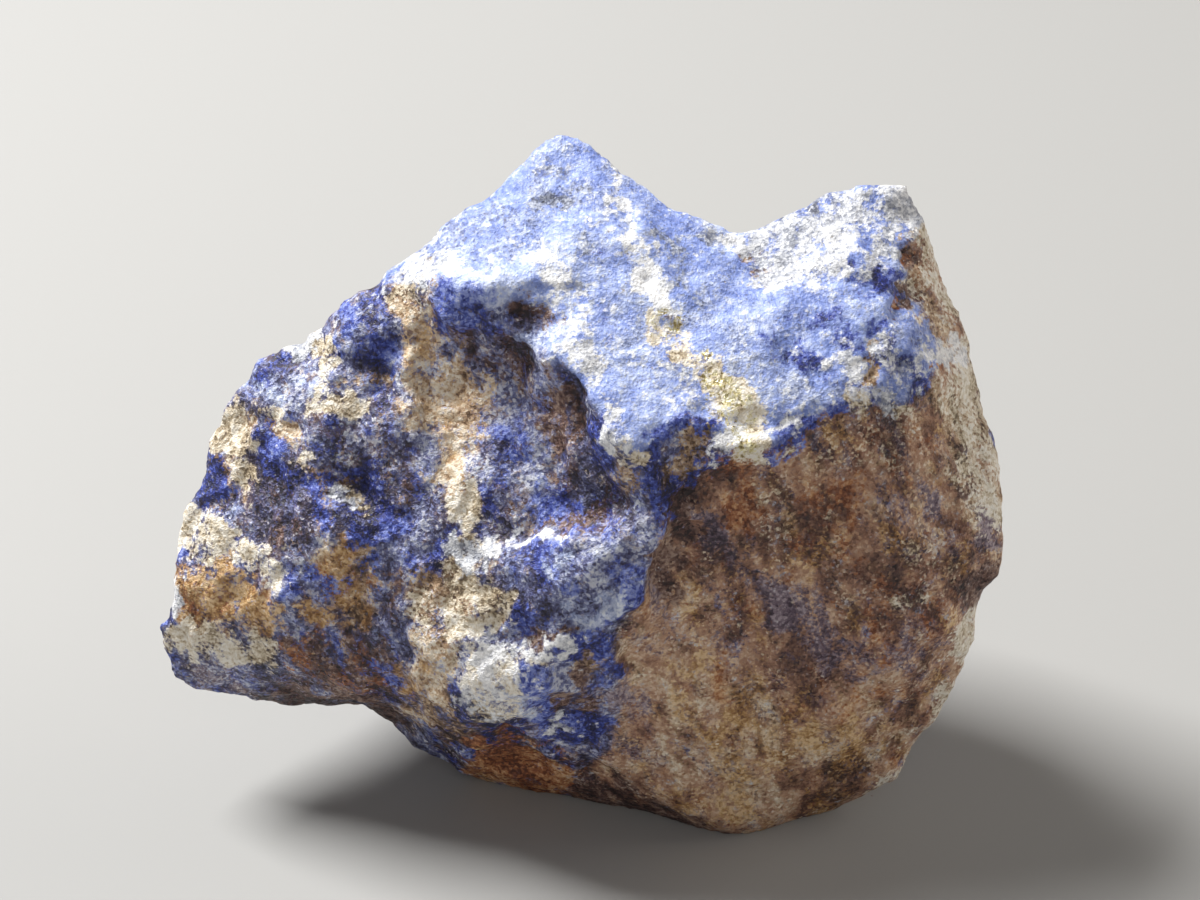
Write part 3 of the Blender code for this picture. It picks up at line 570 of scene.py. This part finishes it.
# Each patch: how soft its edge is in squares, amount, and its outline
FRONT_PATCHES = {
    "white": [
        (1.4, 0.78, [(12.6, 21.4), (16, 23.4), (20, 25.6), (24, 27), (28.5, 29), (32.6, 28), (32.2, 22),
            (30.4, 20.8), (29.2, 19.2), (27, 17.8), (24.6, 17), (21, 16), (18, 15.2), (16, 15.2), (14.6, 17.6),
            (13.4, 20.2)]),
    ],
    "slate": [
        (3, 0.46, [(13, 21), (18, 24), (24, 26), (28, 25), (26, 20), (20, 17), (15, 16)]),
        (2.2, 0.52, [(4, 22.6), (10, 22), (13.6, 18), (11, 15.4), (8, 12.6), (6.6, 16)]),
        (2.2, 0.44, [(-8, 21), (-3, 23), (0, 20), (0, 14), (-4, 14)]),
    ],
    "cream": [
        (1, 1.1, [(-42, -5), (-39.5, -6), (-38, -7.4), (-36, -8.4), (-34, -9.2), (-31.2, -10), (-30.8, -13),
            (-32.4, -13.6), (-35, -12.4), (-36, -11), (-38.6, -11.2), (-41, -10.8), (-43, -9)]),
        (1.5, 0.85, [(30.8, 21.5), (33, 17.4), (34.6, 14.5), (35.4, 9), (36.6, 6), (37.4, 2), (38.4, -3), (39, -7),
            (43, -7), (43, 0), (41, 9), (37, 18), (34, 24)]),
        (2.1, 0.44, [(-19, -11.6), (-10.4, -11.6), (-9.8, -16), (-11, -19.4), (-5.6, -20.6), (-8.2, -24),
            (-11, -25), (-13.6, -21.6), (-18.4, -18)]),
        # These two patches light the low bulge: painted light over cream rock
        (1.2, 1, [(-12.8, -19.6), (-6, -19.4), (-4.6, -20.2), (-7, -21.4), (-8.2, -23), (-9.6, -23.8), (-11.6, -23),
            (-12.8, -22)]),
        (1.8, 0.75, [(-13.2, -22.6), (-8.4, -23.2), (-7, -25.2), (-9, -26.8), (-12, -26.6)]),
        (2.4, 0.6, [(-21.6, 15), (-20.6, 18.6), (-17, 20), (-14.8, 17.6), (-16.4, 15.4), (-18.6, 13.8)]),
        (1.8, 0.55, [(31, 17.4), (33.4, 17), (34.4, 14), (33, 11), (31.4, 13)]),
    ],
    "ochre": [
        (1.4, 1, [(-42.8, -11.2), (-36, -11), (-35, -12.6), (-31.8, -14.2), (-31, -16.6), (-33.4, -19.2),
            (-40, -18.6), (-43.4, -16.4)]),
        (3.9, 0.48, [(8, -20), (13, -19), (17, -24), (24, -25), (32, -26), (29, -34), (20, -38), (14, -39),
            (9, -34), (7, -27)]),
        # The underside: partly the rock's own ochre, partly a painted reddish reflection
        (1.4, 0.55, [(-12.6, -28.4), (-9, -28.4), (-5, -30), (-3, -32.4), (-5.4, -35), (-12, -35), (-13.6, -31)]),
    ],
    "rust": [
        # The underside again: rust, and a painted reddish reflection
        (1.4, 0.85, [(-12.6, -28.4), (-9, -28.4), (-5, -30), (-2, -32.4), (-5.4, -36), (-12, -36), (-13.6, -31)]),
    ],
    "umber": [
        (2.2, 0.78, [(-31.6, -18), (-26, -19.2), (-22.4, -18), (-21.2, -12.6), (-20, -12.6), (-19.6, -24),
            (-21, -27), (-30, -26.5), (-31.5, -22)]),
        (2.2, 0.56, [(-11, 8), (-7, 9.6), (-4, 7.6), (-2.4, 4.6), (-3, 1), (-5, -3), (-8, -4), (-10.5, -2),
            (-9, 2)]),
        (1.8, 0.85, [(-6, -23), (-3, -21.8), (-0.8, -21), (0.2, -24), (-0.6, -26.6), (-5, -26.6)]),
        (1.5, 0.85, [(-4.6, -31.6), (0, -32.6), (5, -34.4), (10, -36.6), (14, -38), (14, -42), (-6, -40)]),
    ],
    "mauve": [(3, 0.5, [(0, -21), (5, -20), (6.4, -33), (2, -32), (-4, -30), (-1, -26)])],
    "tan": [
        (1.8, 0.95, [(-21, 15.6), (-16, 15.6), (-15.2, 10), (-12.6, 8.2), (-11, 6.5), (-12, 3), (-13.5, 0),
            (-12.6, -4.6), (-15.6, -4.6), (-17, 0), (-19.5, 3), (-20, 8), (-20.5, 12)]),
        (1.8, 0.95, [(-19.4, -11.5), (-14.5, -11), (-10.5, -11.5), (-9.8, -16), (-12.5, -19), (-14, -22),
            (-13.6, -26), (-12.5, -28), (-14, -29), (-19.5, -27.5), (-19.2, -20), (-18.8, -16)]),
        (3.3, 0.46, [(2, -21), (10, -16), (10.4, -33), (2, -32)]),
        (4.5, 0.5, [(10, -20), (18, -24), (30, -24), (28, -36), (12, -38)]),
        (1.8, 0.7, [(30.8, 20.8), (33, 18), (33.2, 15.4), (31, 15.6), (30.2, 18)]),
    ],
}

print("the front has marks of", len(FRONT_LINES), "minerals")

# %% [markdown]
# ## The back
#
# The back isn't seen, so it is made up from the same minerals: the pale seam of the top and the brown band of the
# left face run on over it, and the rest is blue with patches of host rock.

# %% The back's seams and stains
BACK_LINES = {
    "white": [
        (1.2, 0.9, [(1, 29), (2.6, 24), (1.6, 18), (-1, 12), (-2, 6), (-5, 1)]),
        (0.8, 0.8, [(-2, 6), (3, 2), (7, -4), (8, -10)]), (1.6, 0.8, [(25, 25), (22, 20), (23, 15), (28, 10)]),
        (1, 0.8, [(-30, 2), (-24, -3), (-20, -9)]),
    ],
    "cream": [
        (1.4, 0.8, [(-20, 17), (-16, 11), (-14, 4), (-15, -3)]), (1.4, 0.8, [(-35, -14), (-28, -16), (-22, -14)]),
        (1.6, 0.8, [(36, 2), (33, -6), (34, -14)]), (1.2, 0.7, [(9, -18), (14, -22), (16, -28)]),
    ],
    "tan": [
        (3, 0.9, [(-14, -6), (-12, -14), (-10, -22), (-12, -30)]), (2, 0.8, [(-36, -2), (-33, -9)]),
        (3.4, 0.9, [(28, 8), (27, 0), (29, -10), (26, -18)]), (2.4, 0.7, [(8, 18), (10, 10)]),
    ],
    "umber": [
        (2.4, 0.8, [(18, -20), (12, -30), (2, -32)]), (2, 0.7, [(-26, -22), (-18, -26)]),
        (1.8, 0.7, [(16, 4), (20, -6)]), (1.2, 0.8, [(-9, 16), (-8, 10)]),
    ],
    "deep": [
        (2.4, 0.7, [(-24, 8), (-27, 2)]), (2.4, 0.7, [(0, -10), (-4, -18)]), (1.8, 0.7, [(16, -12), (20, -16)]),
        (2.2, 0.7, [(4, 12), (8, 4)]), (1.6, 0.8, [(20, 12), (14, 15)]),
    ],
    "haze": [(2, 0.6, [(-8, 22), (-12, 16)]), (2, 0.6, [(6, -2), (12, -6)])],
    "gold": [(0.9, 0.8, [(-1.4, 9), (-2, 6.5)]), (0.8, 0.8, [(6.6, -3), (7.2, -5)]), (0.8, 0.7, [(22.6, 17)])],
    "rust": [(1, 0.8, [(27, 4), (28, 1)]), (0.9, 0.8, [(-12, -12), (-10.6, -15)]), (0.8, 0.8, [(28, -12)])],
    "mauve": [(2.4, 0.7, [(24, -8), (22, -14)]), (2, 0.7, [(-16, -16), (-14, -22)])],
}

print("the back has marks of", len(BACK_LINES), "minerals")

# %% [markdown]
# ## How the minerals mix
#
# No seam in this rock has a clean edge. Noise of its own breaks each mineral's mark into islands where it gets
# thin, and even a strong mark doesn't quite close. Between the marks, a little of most minerals is scattered over
# each face: the top is whitened by white grains and by haze that is painted sheen, the left face is dark and
# speckled, and the right face is mostly host rock.

# %% List the clear, light and dark places and the scatter
# Where the blue is almost free of other rock: how soft the edge is, how far it goes, and the outline
CLEAR_BLUE = [
    (1.2, 1, [(-9.5, -11), (-8, -9.4), (-4, -8.2), (2, -8), (4.8, -9.5), (4.4, -14), (0.5, -17.8), (-4, -19),
        (-8, -17.5), (-9.5, -15)]),
    (1.2, 1, [(-16, 17.5), (-11, 18), (-8, 14.5), (-9, 12), (-14, 12.5)]),
    (1.5, 0.8, [(-27, 13), (-21, 13), (-20, 8), (-26, 7)]),
    (1.5, 0.8, [(-26, -5.5), (-17, -6), (-16, -13), (-22, -14), (-26, -11)]),
    (1.2, 0.9, [(2, -22), (-1, -20), (-6, -22), (-4, -27), (1, -28)]),
]

# Where grains are lighter than elsewhere, and darker: radius in squares, how much, and the line. Some of this is
# the rock's own tone, and some is painted light on places that the lamps leave dim and painted shade on a shaded
# slope.
LIGHTER = [
    # The first mark here lightens the right edge, which faces away from the key lamp: painted light
    (2.4, 0.26, [(33, 20), (35.5, 14), (37.5, 8), (39, 2), (39.6, -4), (40, -9)]), (2.6, 0.12, [(5, 5.6), (9, 5.2)]),
    (2, 0.24, [(37.6, -17), (36, -23), (33, -28), (29.5, -33)]), (2, 0.22, [(-41, -7), (-37, -9.4), (-33, -11.4)]),
    (4.5, 0.44, [(8, -17), (9.5, -23), (12, -29), (14, -34)]), (7, 0.06, [(-1, 18), (6, 9)]), (2, 0.14, [(-24, 13)]),
    (3, 0.12, [(13, -6), (16, -12)]), (3.5, 0.22, [(19, -29), (26, -27)]), (2.2, 0.42, [(-13.5, 16.4), (-11, 16.2)]),
    (3, 0.2, [(-39.5, -13.5), (-35, -15.5)]), (3.5, 0.2, [(-8, 4), (-6, -1)]), (2, 0.26, [(-17, -18.6), (-17, -23)]),
    # The first mark here lightens the low bulge as if lit from above: painted light
    (2.8, 0.42, [(-11, -21.2), (-7.6, -23)]), (0.8, 0.2, [(3.8, -12.4), (3.2, -14.2), (1.8, -15.8), (0.2, -17.4)]),
    (1, 0.45, [(2.6, 23), (3.4, 20), (5, 16.8), (6.4, 14.4)]), (3, 0.38, [(-18, 12), (-17, 6), (-15.5, 0)]),
    (1.3, 0.16, [(5.4, 13.2), (9.4, 9.2), (12.6, 6.4), (15, 2.4)]), (4, 0.14, [(-24, -11), (-21, -10)]),
    (4, 0.08, [(-6, -12.4), (0, -12)]), (1, 0.24, [(12.6, 0.6), (18.4, 0.9), (20, 2.4), (23.5, 4.2)]),
]
DARKER = [
    (4.5, 0.2, [(25, -7), (27, -10)]), (3.5, 0.2, [(-17, 20), (-11, 21)]), (5, 0.16, [(20, 22), (28, 23)]),
    # The first mark here darkens a slope that is in shade: painted shade
    (2.8, 0.3, [(-33, -4), (-32, -8)]), (2, 0.2, [(-26, -7.6), (-23, -8.2)]), (2.5, 0.12, [(-13, -14), (-12, -16)]),
    (1.5, 0.4, [(-13.6, -24.5), (-12.4, -26.9), (-9, -28.3)]),
]

# How much of each mineral is scattered over the left, the upper and the right face, and over the back
SCATTER = {
    "host": (0, 0, 1, 0),
    "tan": (0.18, 0, 0.28, 0.22),
    "ochre": (0.04, 0, 0.28, 0.08),
    "umber": (0.34, 0, 0.24, 0.28),
    "mauve": (0.3, 0.06, 0.24, 0.24),
    "deep": (0.34, 0.14, 0, 0.28),
    "slate": (0.18, 0.22, 0.12, 0.16),
    # The haze and white over the upper face also stand for painted sheen from the lamp above
    "haze": (0.18, 0.28, 0, 0.2),
    "cream": (0.11, 0.06, 0.14, 0.14),
    "white": (0.09, 0.17, 0, 0.1),
    "gold": (0, 0, 0, 0),
    "rust": (0, 0, 0.2, 0),
}

print("a clear blue in", len(CLEAR_BLUE), "places")

# %% [markdown]
# ## Numbers for the material
#
# The material can't measure marks, so each mineral's amount is stored on every point of the stone. So is the tone,
# which says how light the grains are. Raised grains are painted lighter and sunken ones darker, as painted shade in
# the hollows, and the tone also holds the painted light and shade of the lighter and darker places.

# %% Store the marks on the stone
ISLANDS, ISLAND_LENGTH = 0.17, 0.0034
CRUMBS, CRUMB_LENGTH = 0.10, 0.0013
BROKEN_FROM = 0.25
KEEPS_CLEAR, KEEPS_BLUE = 0.80, 0.7
MARK_STRENGTH, NEVER_CLOSED = 0.94, 0.76
HOST_LENGTH, HOST_FROM, HOST_SURE = 0.022, 0.1, 1.1
BROAD, BROAD_LENGTH = 0.10, 0.0060
FINE, FINE_LENGTH = 0.11, 0.0019
UPPER_CALMER, RIGHT_STRONGER = 0.45, 0.35
# How much of the carving counts, and how much lighter raised grains are painted: painted shade in the hollows
CARVED_SHARE, RAISED_PAINTED_LIGHTER = 0.35, 190
TONE_LIMIT = 0.27


def store(name, amounts):
    """Keeps a number for each point, for the material to read."""
    layer = stone.data.attributes.new(name, "FLOAT", "POINT")
    layer.data.foreach_set("value", amounts.astype(np.float32))


left_face = front * (1 - np.maximum(right_face, upper_face))
zones = (left_face, upper_face, right_face, back)
marked = {}
for mineral in SCATTER:
    in_front = all_marks(pushed, FRONT_LINES.get(mineral, ()), FRONT_PATCHES.get(mineral, ()))
    behind = all_marks(pushed, BACK_LINES.get(mineral, ()))
    marked[mineral] = in_front * front + behind * back
unmarked = 1 - KEEPS_CLEAR * np.minimum(1, np.max(list(marked.values()), axis=0))
clear_blue = 1 - KEEPS_BLUE * all_marks(pushed, (), CLEAR_BLUE) * front

# The host rock shows in large patches of the back
marked["host"] = soft_step(waves(points, HOST_LENGTH, 9, 3), HOST_FROM, HOST_SURE) * back

for number, (mineral, amounts) in enumerate(SCATTER.items()):
    scattered = sum(share * zone for share, zone in zip(amounts, zones))
    if mineral != "host":
        scattered = scattered * unmarked
    if mineral != "deep":
        scattered = scattered * clear_blue
    amount = np.maximum(scattered, np.minimum(NEVER_CLOSED, MARK_STRENGTH * marked[mineral]))
    breaks = ISLANDS * waves(drawn, ISLAND_LENGTH, 10 + number, 2)
    breaks += CRUMBS * waves(drawn, CRUMB_LENGTH, 22 + number)
    store(mineral, amount + breaks * np.minimum(1, amount / BROKEN_FROM))

store("upper", upper_face)
mottle = BROAD * waves(drawn, BROAD_LENGTH, 30, 2) + FINE * waves(drawn, FINE_LENGTH, 31, 2)
mottle *= 1 - UPPER_CALMER * upper_face + RIGHT_STRONGER * right_face
# Painted light and shade, with some of the rock's own tone
painted_light_and_tone = (all_marks(pushed, LIGHTER) - all_marks(pushed, DARKER)) * front
# Raised grains painted lighter and sunken ones darker: painted shade in the hollows
height_for_shade = carved * CARVED_SHARE + broken
lightness = mottle + painted_light_and_tone + height_for_shade * RAISED_PAINTED_LIGHTER
store("tone", TONE_LIMIT * np.tanh(lightness / TONE_LIMIT))
print("stored", ", ".join(SCATTER))

# %% [markdown]
# ## Shader maths as expressions
#
# A material is a graph of nodes, and long graphs are hard to read. This small class wraps one output of a node, so
# that an expression such as 1 - white * 0.5 adds its Math nodes. Any other node comes from the node method.


# %% Wrap a shader socket
class Link:
    """One output of a node, which takes part in arithmetic as a number does."""

    def __init__(self, tree, socket=None):
        self.tree = tree
        self.socket = socket

    def node(self, kind, settings=(), values=(), output=0):
        """Adds a node: its settings first, then the value or the link of each socket. Gives one output."""
        node = self.tree.nodes.new("ShaderNode" + kind)
        for name, setting in dict(settings).items():
            if name == "stops":
                self.set_stops(node.color_ramp, setting)
            else:
                setattr(node, name, setting)
        for name, value in dict(values).items():
            if isinstance(value, Link):
                self.tree.links.new(value.socket, node.inputs[name])
            else:
                node.inputs[name].default_value = value
        return Link(self.tree, node.outputs[output] if node.outputs else None)

    def set_stops(self, ramp, stops):
        """Gives a ramp these stops, each a position and a colour."""
        while len(ramp.elements) < len(stops):
            ramp.elements.new(1.0)
        for element, (position, shade) in zip(ramp.elements, stops):
            element.position = position
            element.color = shade

    def other(self, output):
        """Another output of the same node."""
        return Link(self.tree, self.socket.node.outputs[output])

    def math(self, operation, *values):
        return self.node("Math", {"operation": operation}, enumerate(values))

    def __add__(self, other):
        return self.math("ADD", self, other)

    __radd__ = __add__

    def __sub__(self, other):
        return self.math("SUBTRACT", self, other)

    def __rsub__(self, other):
        return self.math("SUBTRACT", other, self)

    def __mul__(self, other):
        return self.math("MULTIPLY", self, other)

    __rmul__ = __mul__

    def step(self, low, high):
        """A soft step from 0 to 1 as the value passes from low to high."""
        values = {"Value": self, "From Min": low, "From Max": high}
        return self.node("MapRange", {"interpolation_type": "SMOOTHSTEP"}, values)

    def mixed(self, other, share):
        """This colour, with a share of another over it."""
        sockets = {0: share, 6: self, 7: other}
        return self.node("Mix", {"data_type": "RGBA"}, sockets, output=2)


# %% [markdown]
# ## Colours
#
# The colours are those of the dry, broken stone, except that the top face's blue is lighter than the left face's:
# painted sheen from the lamp above. Each mineral has five tones, from dark to light, because no two of its grains
# take the light alike, and a single colour would look painted on.


# %% Name the colours
def colour(*on_screen):
    """A colour on a screen, from 0 to 255, in the linear numbers that a shader takes."""
    return (*Color([part / 255 for part in on_screen]).from_srgb_to_scene_linear(), 1.0)


# Each mineral's tones, from the darkest to the lightest
TONES = {
    "left_blue": [(34, 28, 40), (58, 56, 86), (86, 89, 130), (124, 131, 170), (196, 199, 214)],
    # The top face's blue: the same blue, lighter, with painted sheen
    "upper_blue_and_sheen": [(84, 98, 154), (112, 132, 198), (142, 160, 220), (176, 191, 234), (218, 226, 243)],
    "host": [(62, 41, 36), (112, 79, 65), (152, 113, 92), (182, 143, 116), (216, 188, 162)],
    "tan": [(78, 56, 41), (136, 108, 81), (182, 152, 121), (214, 192, 163), (240, 230, 212)],
    "ochre": [(84, 56, 32), (130, 92, 54), (164, 123, 75), (194, 156, 106), (224, 194, 152)],
    "umber": [(36, 24, 26), (62, 42, 40), (88, 62, 56), (116, 88, 78), (158, 134, 120)],
    "mauve": [(48, 38, 50), (74, 60, 74), (100, 84, 98), (128, 112, 124), (166, 152, 160)],
    "deep": [(20, 21, 52), (32, 38, 94), (48, 60, 140), (78, 96, 180), (138, 152, 214)],
    "slate": [(66, 70, 86), (106, 112, 132), (144, 151, 172), (180, 186, 202), (216, 219, 227)],
    "haze": [(92, 102, 142), (128, 140, 182), (162, 174, 210), (194, 203, 228), (226, 231, 242)],
    "cream": [(116, 100, 78), (174, 157, 130), (212, 199, 176), (230, 221, 204), (242, 237, 227)],
    "white": [(140, 144, 156), (184, 187, 196), (210, 212, 217), (234, 235, 238), (250, 250, 250)],
    "gold": [(66, 54, 28), (120, 104, 58), (182, 166, 112), (218, 208, 158), (246, 240, 206)],
    "rust": [(84, 46, 30), (128, 74, 46), (162, 104, 66), (190, 140, 98), (216, 176, 136)],
}
TONE_PLACES = (0.12, 0.32, 0.50, 0.68, 0.90)
print(len(TONES), "colours of", len(TONE_PLACES), "tones each")

# %% [markdown]
# ## The stone's material
#
# One number, the tone, says how light each grain is, and every mineral has a colour ramp that turns the tone into
# its own colour. The blue comes first, then the host rock, then each mark over it. A mark's edge is broken up once
# more by grains that are too small for the grid: specks of about a millimetre, sugar of less than half of that, and
# crystals, which are cells with a chance of their own. The same grains give the roughness and the bump, so that
# light and colour agree. Only the pyrite is metal.

# %% Build the material
EDGE = 0.22
SPECK, SUGAR = 0.00085, 0.00038
# How much specks, sugar and crystals count in the tone, and in the three kinds of broken edge
TONE_GRAINS = (1.1, 0.7, 0.42)
EDGE_GRAINS = ((1.3, 0, 0.36), (0, -1.35, 0.36), (-0.8, 1, 0.32))
CALMER = 0.55
ROUGH, ROUGH_SPREAD = 0.58, 0.35
METAL_FROM, METAL_SURE, METAL_SHARE, METAL_SMOOTHER = 0.45, 0.6, 0.8, 0.25
BUMP_SPECK, UPPER_FINER, BUMP_SUGAR, BUMP_CRYSTAL = 1.1, 0.7, 0.35, 0.15
BUMP_STRENGTH, BUMP_HEIGHT = 0.75, 0.0005
LAYERS = [mineral for mineral in SCATTER if mineral != "gold"]


def lapis_material():
    material = bpy.data.materials.new("lapis")
    material.use_nodes = True
    material.node_tree.nodes.clear()
    start = Link(material.node_tree)
    place = start.node("TexCoord", output=3)

    def mask(name):
        return start.node("Attribute", {"attribute_name": name}, output=2)

    def grains(length, detail, roughness):
        values = {"Vector": place, "Scale": 1 / length, "Detail": detail, "Roughness": roughness}
        return start.node("TexNoise", values=values)

    def uneven(weights, chance):
        """The fine grains added up, about 0."""
        return sum((grain - 0.5) * weight for grain, weight in zip((speck, sugar, chance), weights) if weight)

    speck = grains(SPECK, detail=3.0, roughness=0.70)
    sugar = grains(SUGAR, detail=2.0, roughness=0.65)
    crystal = start.node("TexVoronoi", values={"Vector": place, "Scale": 1 / SUGAR})
    chance = start.node("SeparateColor", values={"Color": crystal.other(1)})
    green_chance, blue_chance = chance.other(1), chance.other(2)
    fine_mottle = uneven(TONE_GRAINS, chance)
    tone = mask("tone") + fine_mottle + 0.5
    softer_tone = mask("tone") + fine_mottle * CALMER + 0.5

    def tones(mineral, tone=tone):
        """The mineral's colour for this tone."""
        stops = list(zip(TONE_PLACES, (colour(*shade) for shade in TONES[mineral])))
        return start.node("ValToRGB", {"stops": stops}, {"Fac": tone})

    def cover(mineral, broken_edge):
        """Where the mineral shows: its mark, broken up by the finest grains."""
        return (mask(mineral) + broken_edge).step(0.5 - EDGE, 0.5 + EDGE)

    broken_edges = [uneven(*kind) for kind in zip(EDGE_GRAINS, (green_chance, blue_chance, chance))]
    # The top face takes the lighter blue, with its painted sheen
    base = tones("left_blue").mixed(tones("upper_blue_and_sheen", softer_tone), mask("upper"))
    for number, mineral in enumerate(LAYERS):
        shown = tones(mineral, softer_tone if mineral == "host" else tone)
        base = base.mixed(shown, cover(mineral, broken_edges[number % 3]))
    pyrite = cover("gold", broken_edges[1])
    base = base.mixed(tones("gold"), pyrite)

    metal = pyrite * chance.step(METAL_FROM, METAL_SURE)
    roughness = ROUGH + (green_chance - 0.5) * ROUGH_SPREAD - metal * METAL_SMOOTHER
    specks = speck * (BUMP_SPECK - mask("upper") * UPPER_FINER)
    bump_height = specks + sugar * BUMP_SUGAR + crystal * BUMP_CRYSTAL
    bump = start.node("Bump", values={"Height": bump_height, "Strength": BUMP_STRENGTH, "Distance": BUMP_HEIGHT})
    values = {"Base Color": base, "Roughness": roughness, "Metallic": metal * METAL_SHARE, "Normal": bump}
    shader = start.node("BsdfPrincipled", values=values)
    start.node("OutputMaterial", values={"Surface": shader})
    return material


stone.data.materials.clear()
stone.data.materials.append(lapis_material())
stone.data.shade_smooth()
print("the material has", len(stone.active_material.node_tree.nodes), "nodes")

# %% [markdown]
# ## Put it on the frame
#
# The fine stone, one piece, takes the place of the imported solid, which stays for the physics.

# %% Ride and replace
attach(stone, "root")
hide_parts("lapis_stone")

# %% [markdown]
# ## The floor
#
# A plain pale sheet, wide enough for every view, takes nothing away from the stone.

# %% Lay the floor
FLOOR_REACH = 1.5
floor_mesh = bpy.data.meshes.new("floor")
corners = [(FLOOR_REACH * x, FLOOR_REACH * y, 0) for x, y in ((-1, -1), (1, -1), (1, 1), (-1, 1))]
floor_mesh.from_pydata(corners, [], [(0, 1, 2, 3)])
floor = put_in_scene("floor", floor_mesh)
paper = bpy.data.materials.new("pale_paper")
paper.use_nodes = True
paper_shader = paper.node_tree.nodes["Principled BSDF"]
paper_shader.inputs["Base Color"].default_value = colour(164, 164, 163)
paper_shader.inputs["Roughness"].default_value = 0.9
floor_mesh.materials.append(paper)
print("floor", 2 * FLOOR_REACH, "m wide")

# %% [markdown]
# ## The light
#
# Soft light comes from above, the left and a little behind, as from a large lamp over the table. The sloping top
# face takes most of it and the steep faces stay darker. Two weak lamps help, one at the pale right edge and one in
# front, so that the steep faces don't go black.

# %% Set the lights
STONE_MIDDLE = Vector((0, 0, 0.038))


def soft_light(name, place, size, power, tint):
    """A square lamp at a place, turned to the stone."""
    lamp = bpy.data.lights.new(name, "AREA")
    lamp.size = size
    lamp.energy = power
    lamp.color = tint
    stand = put_in_scene(name, lamp)
    stand.location = place
    stand.rotation_euler = (STONE_MIDDLE - Vector(place)).to_track_quat("-Z", "Y").to_euler()


soft_light("key", (-0.45, 0.26, 0.76), size=0.35, power=16.0, tint=(1.0, 0.99, 0.97))
soft_light("side", (0.75, 0.20, 0.30), size=0.5, power=2.2, tint=(1.0, 0.93, 0.84))
soft_light("fill", (0.2, -0.9, 0.6), size=0.8, power=1.8, tint=(1.0, 0.97, 0.94))

world = bpy.data.worlds.new("studio")
world.use_nodes = True
surroundings = world.node_tree.nodes["Background"].inputs
surroundings["Color"].default_value = (0.92, 0.88, 0.86, 1.0)
surroundings["Strength"].default_value = 0.16
bpy.context.scene.world = world
bpy.context.scene.view_settings.view_transform = "Standard"
print("lamps:", len(bpy.data.lights))

# %% [markdown]
# ## The camera
#
# It stands at the eye of the view, so that every mark is seen where its places say, and its lens is as long as the
# width of the view needs.

# %% Stand the camera up
camera = put_in_scene("camera", bpy.data.cameras.new("camera"))
camera.location = VIEW_MIDDLE + TO_EYE * VIEW_DISTANCE
camera.rotation_euler = (math.pi / 2 - LOOK_DOWN, 0, 0)
camera.data.lens = camera.data.sensor_width * VIEW_DISTANCE / (VIEW_WIDTH_IN_SQUARES * SQUARE)
camera.data.clip_start = 0.01
bpy.context.scene.camera = camera
print("a lens of", round(camera.data.lens, 1), "mm")
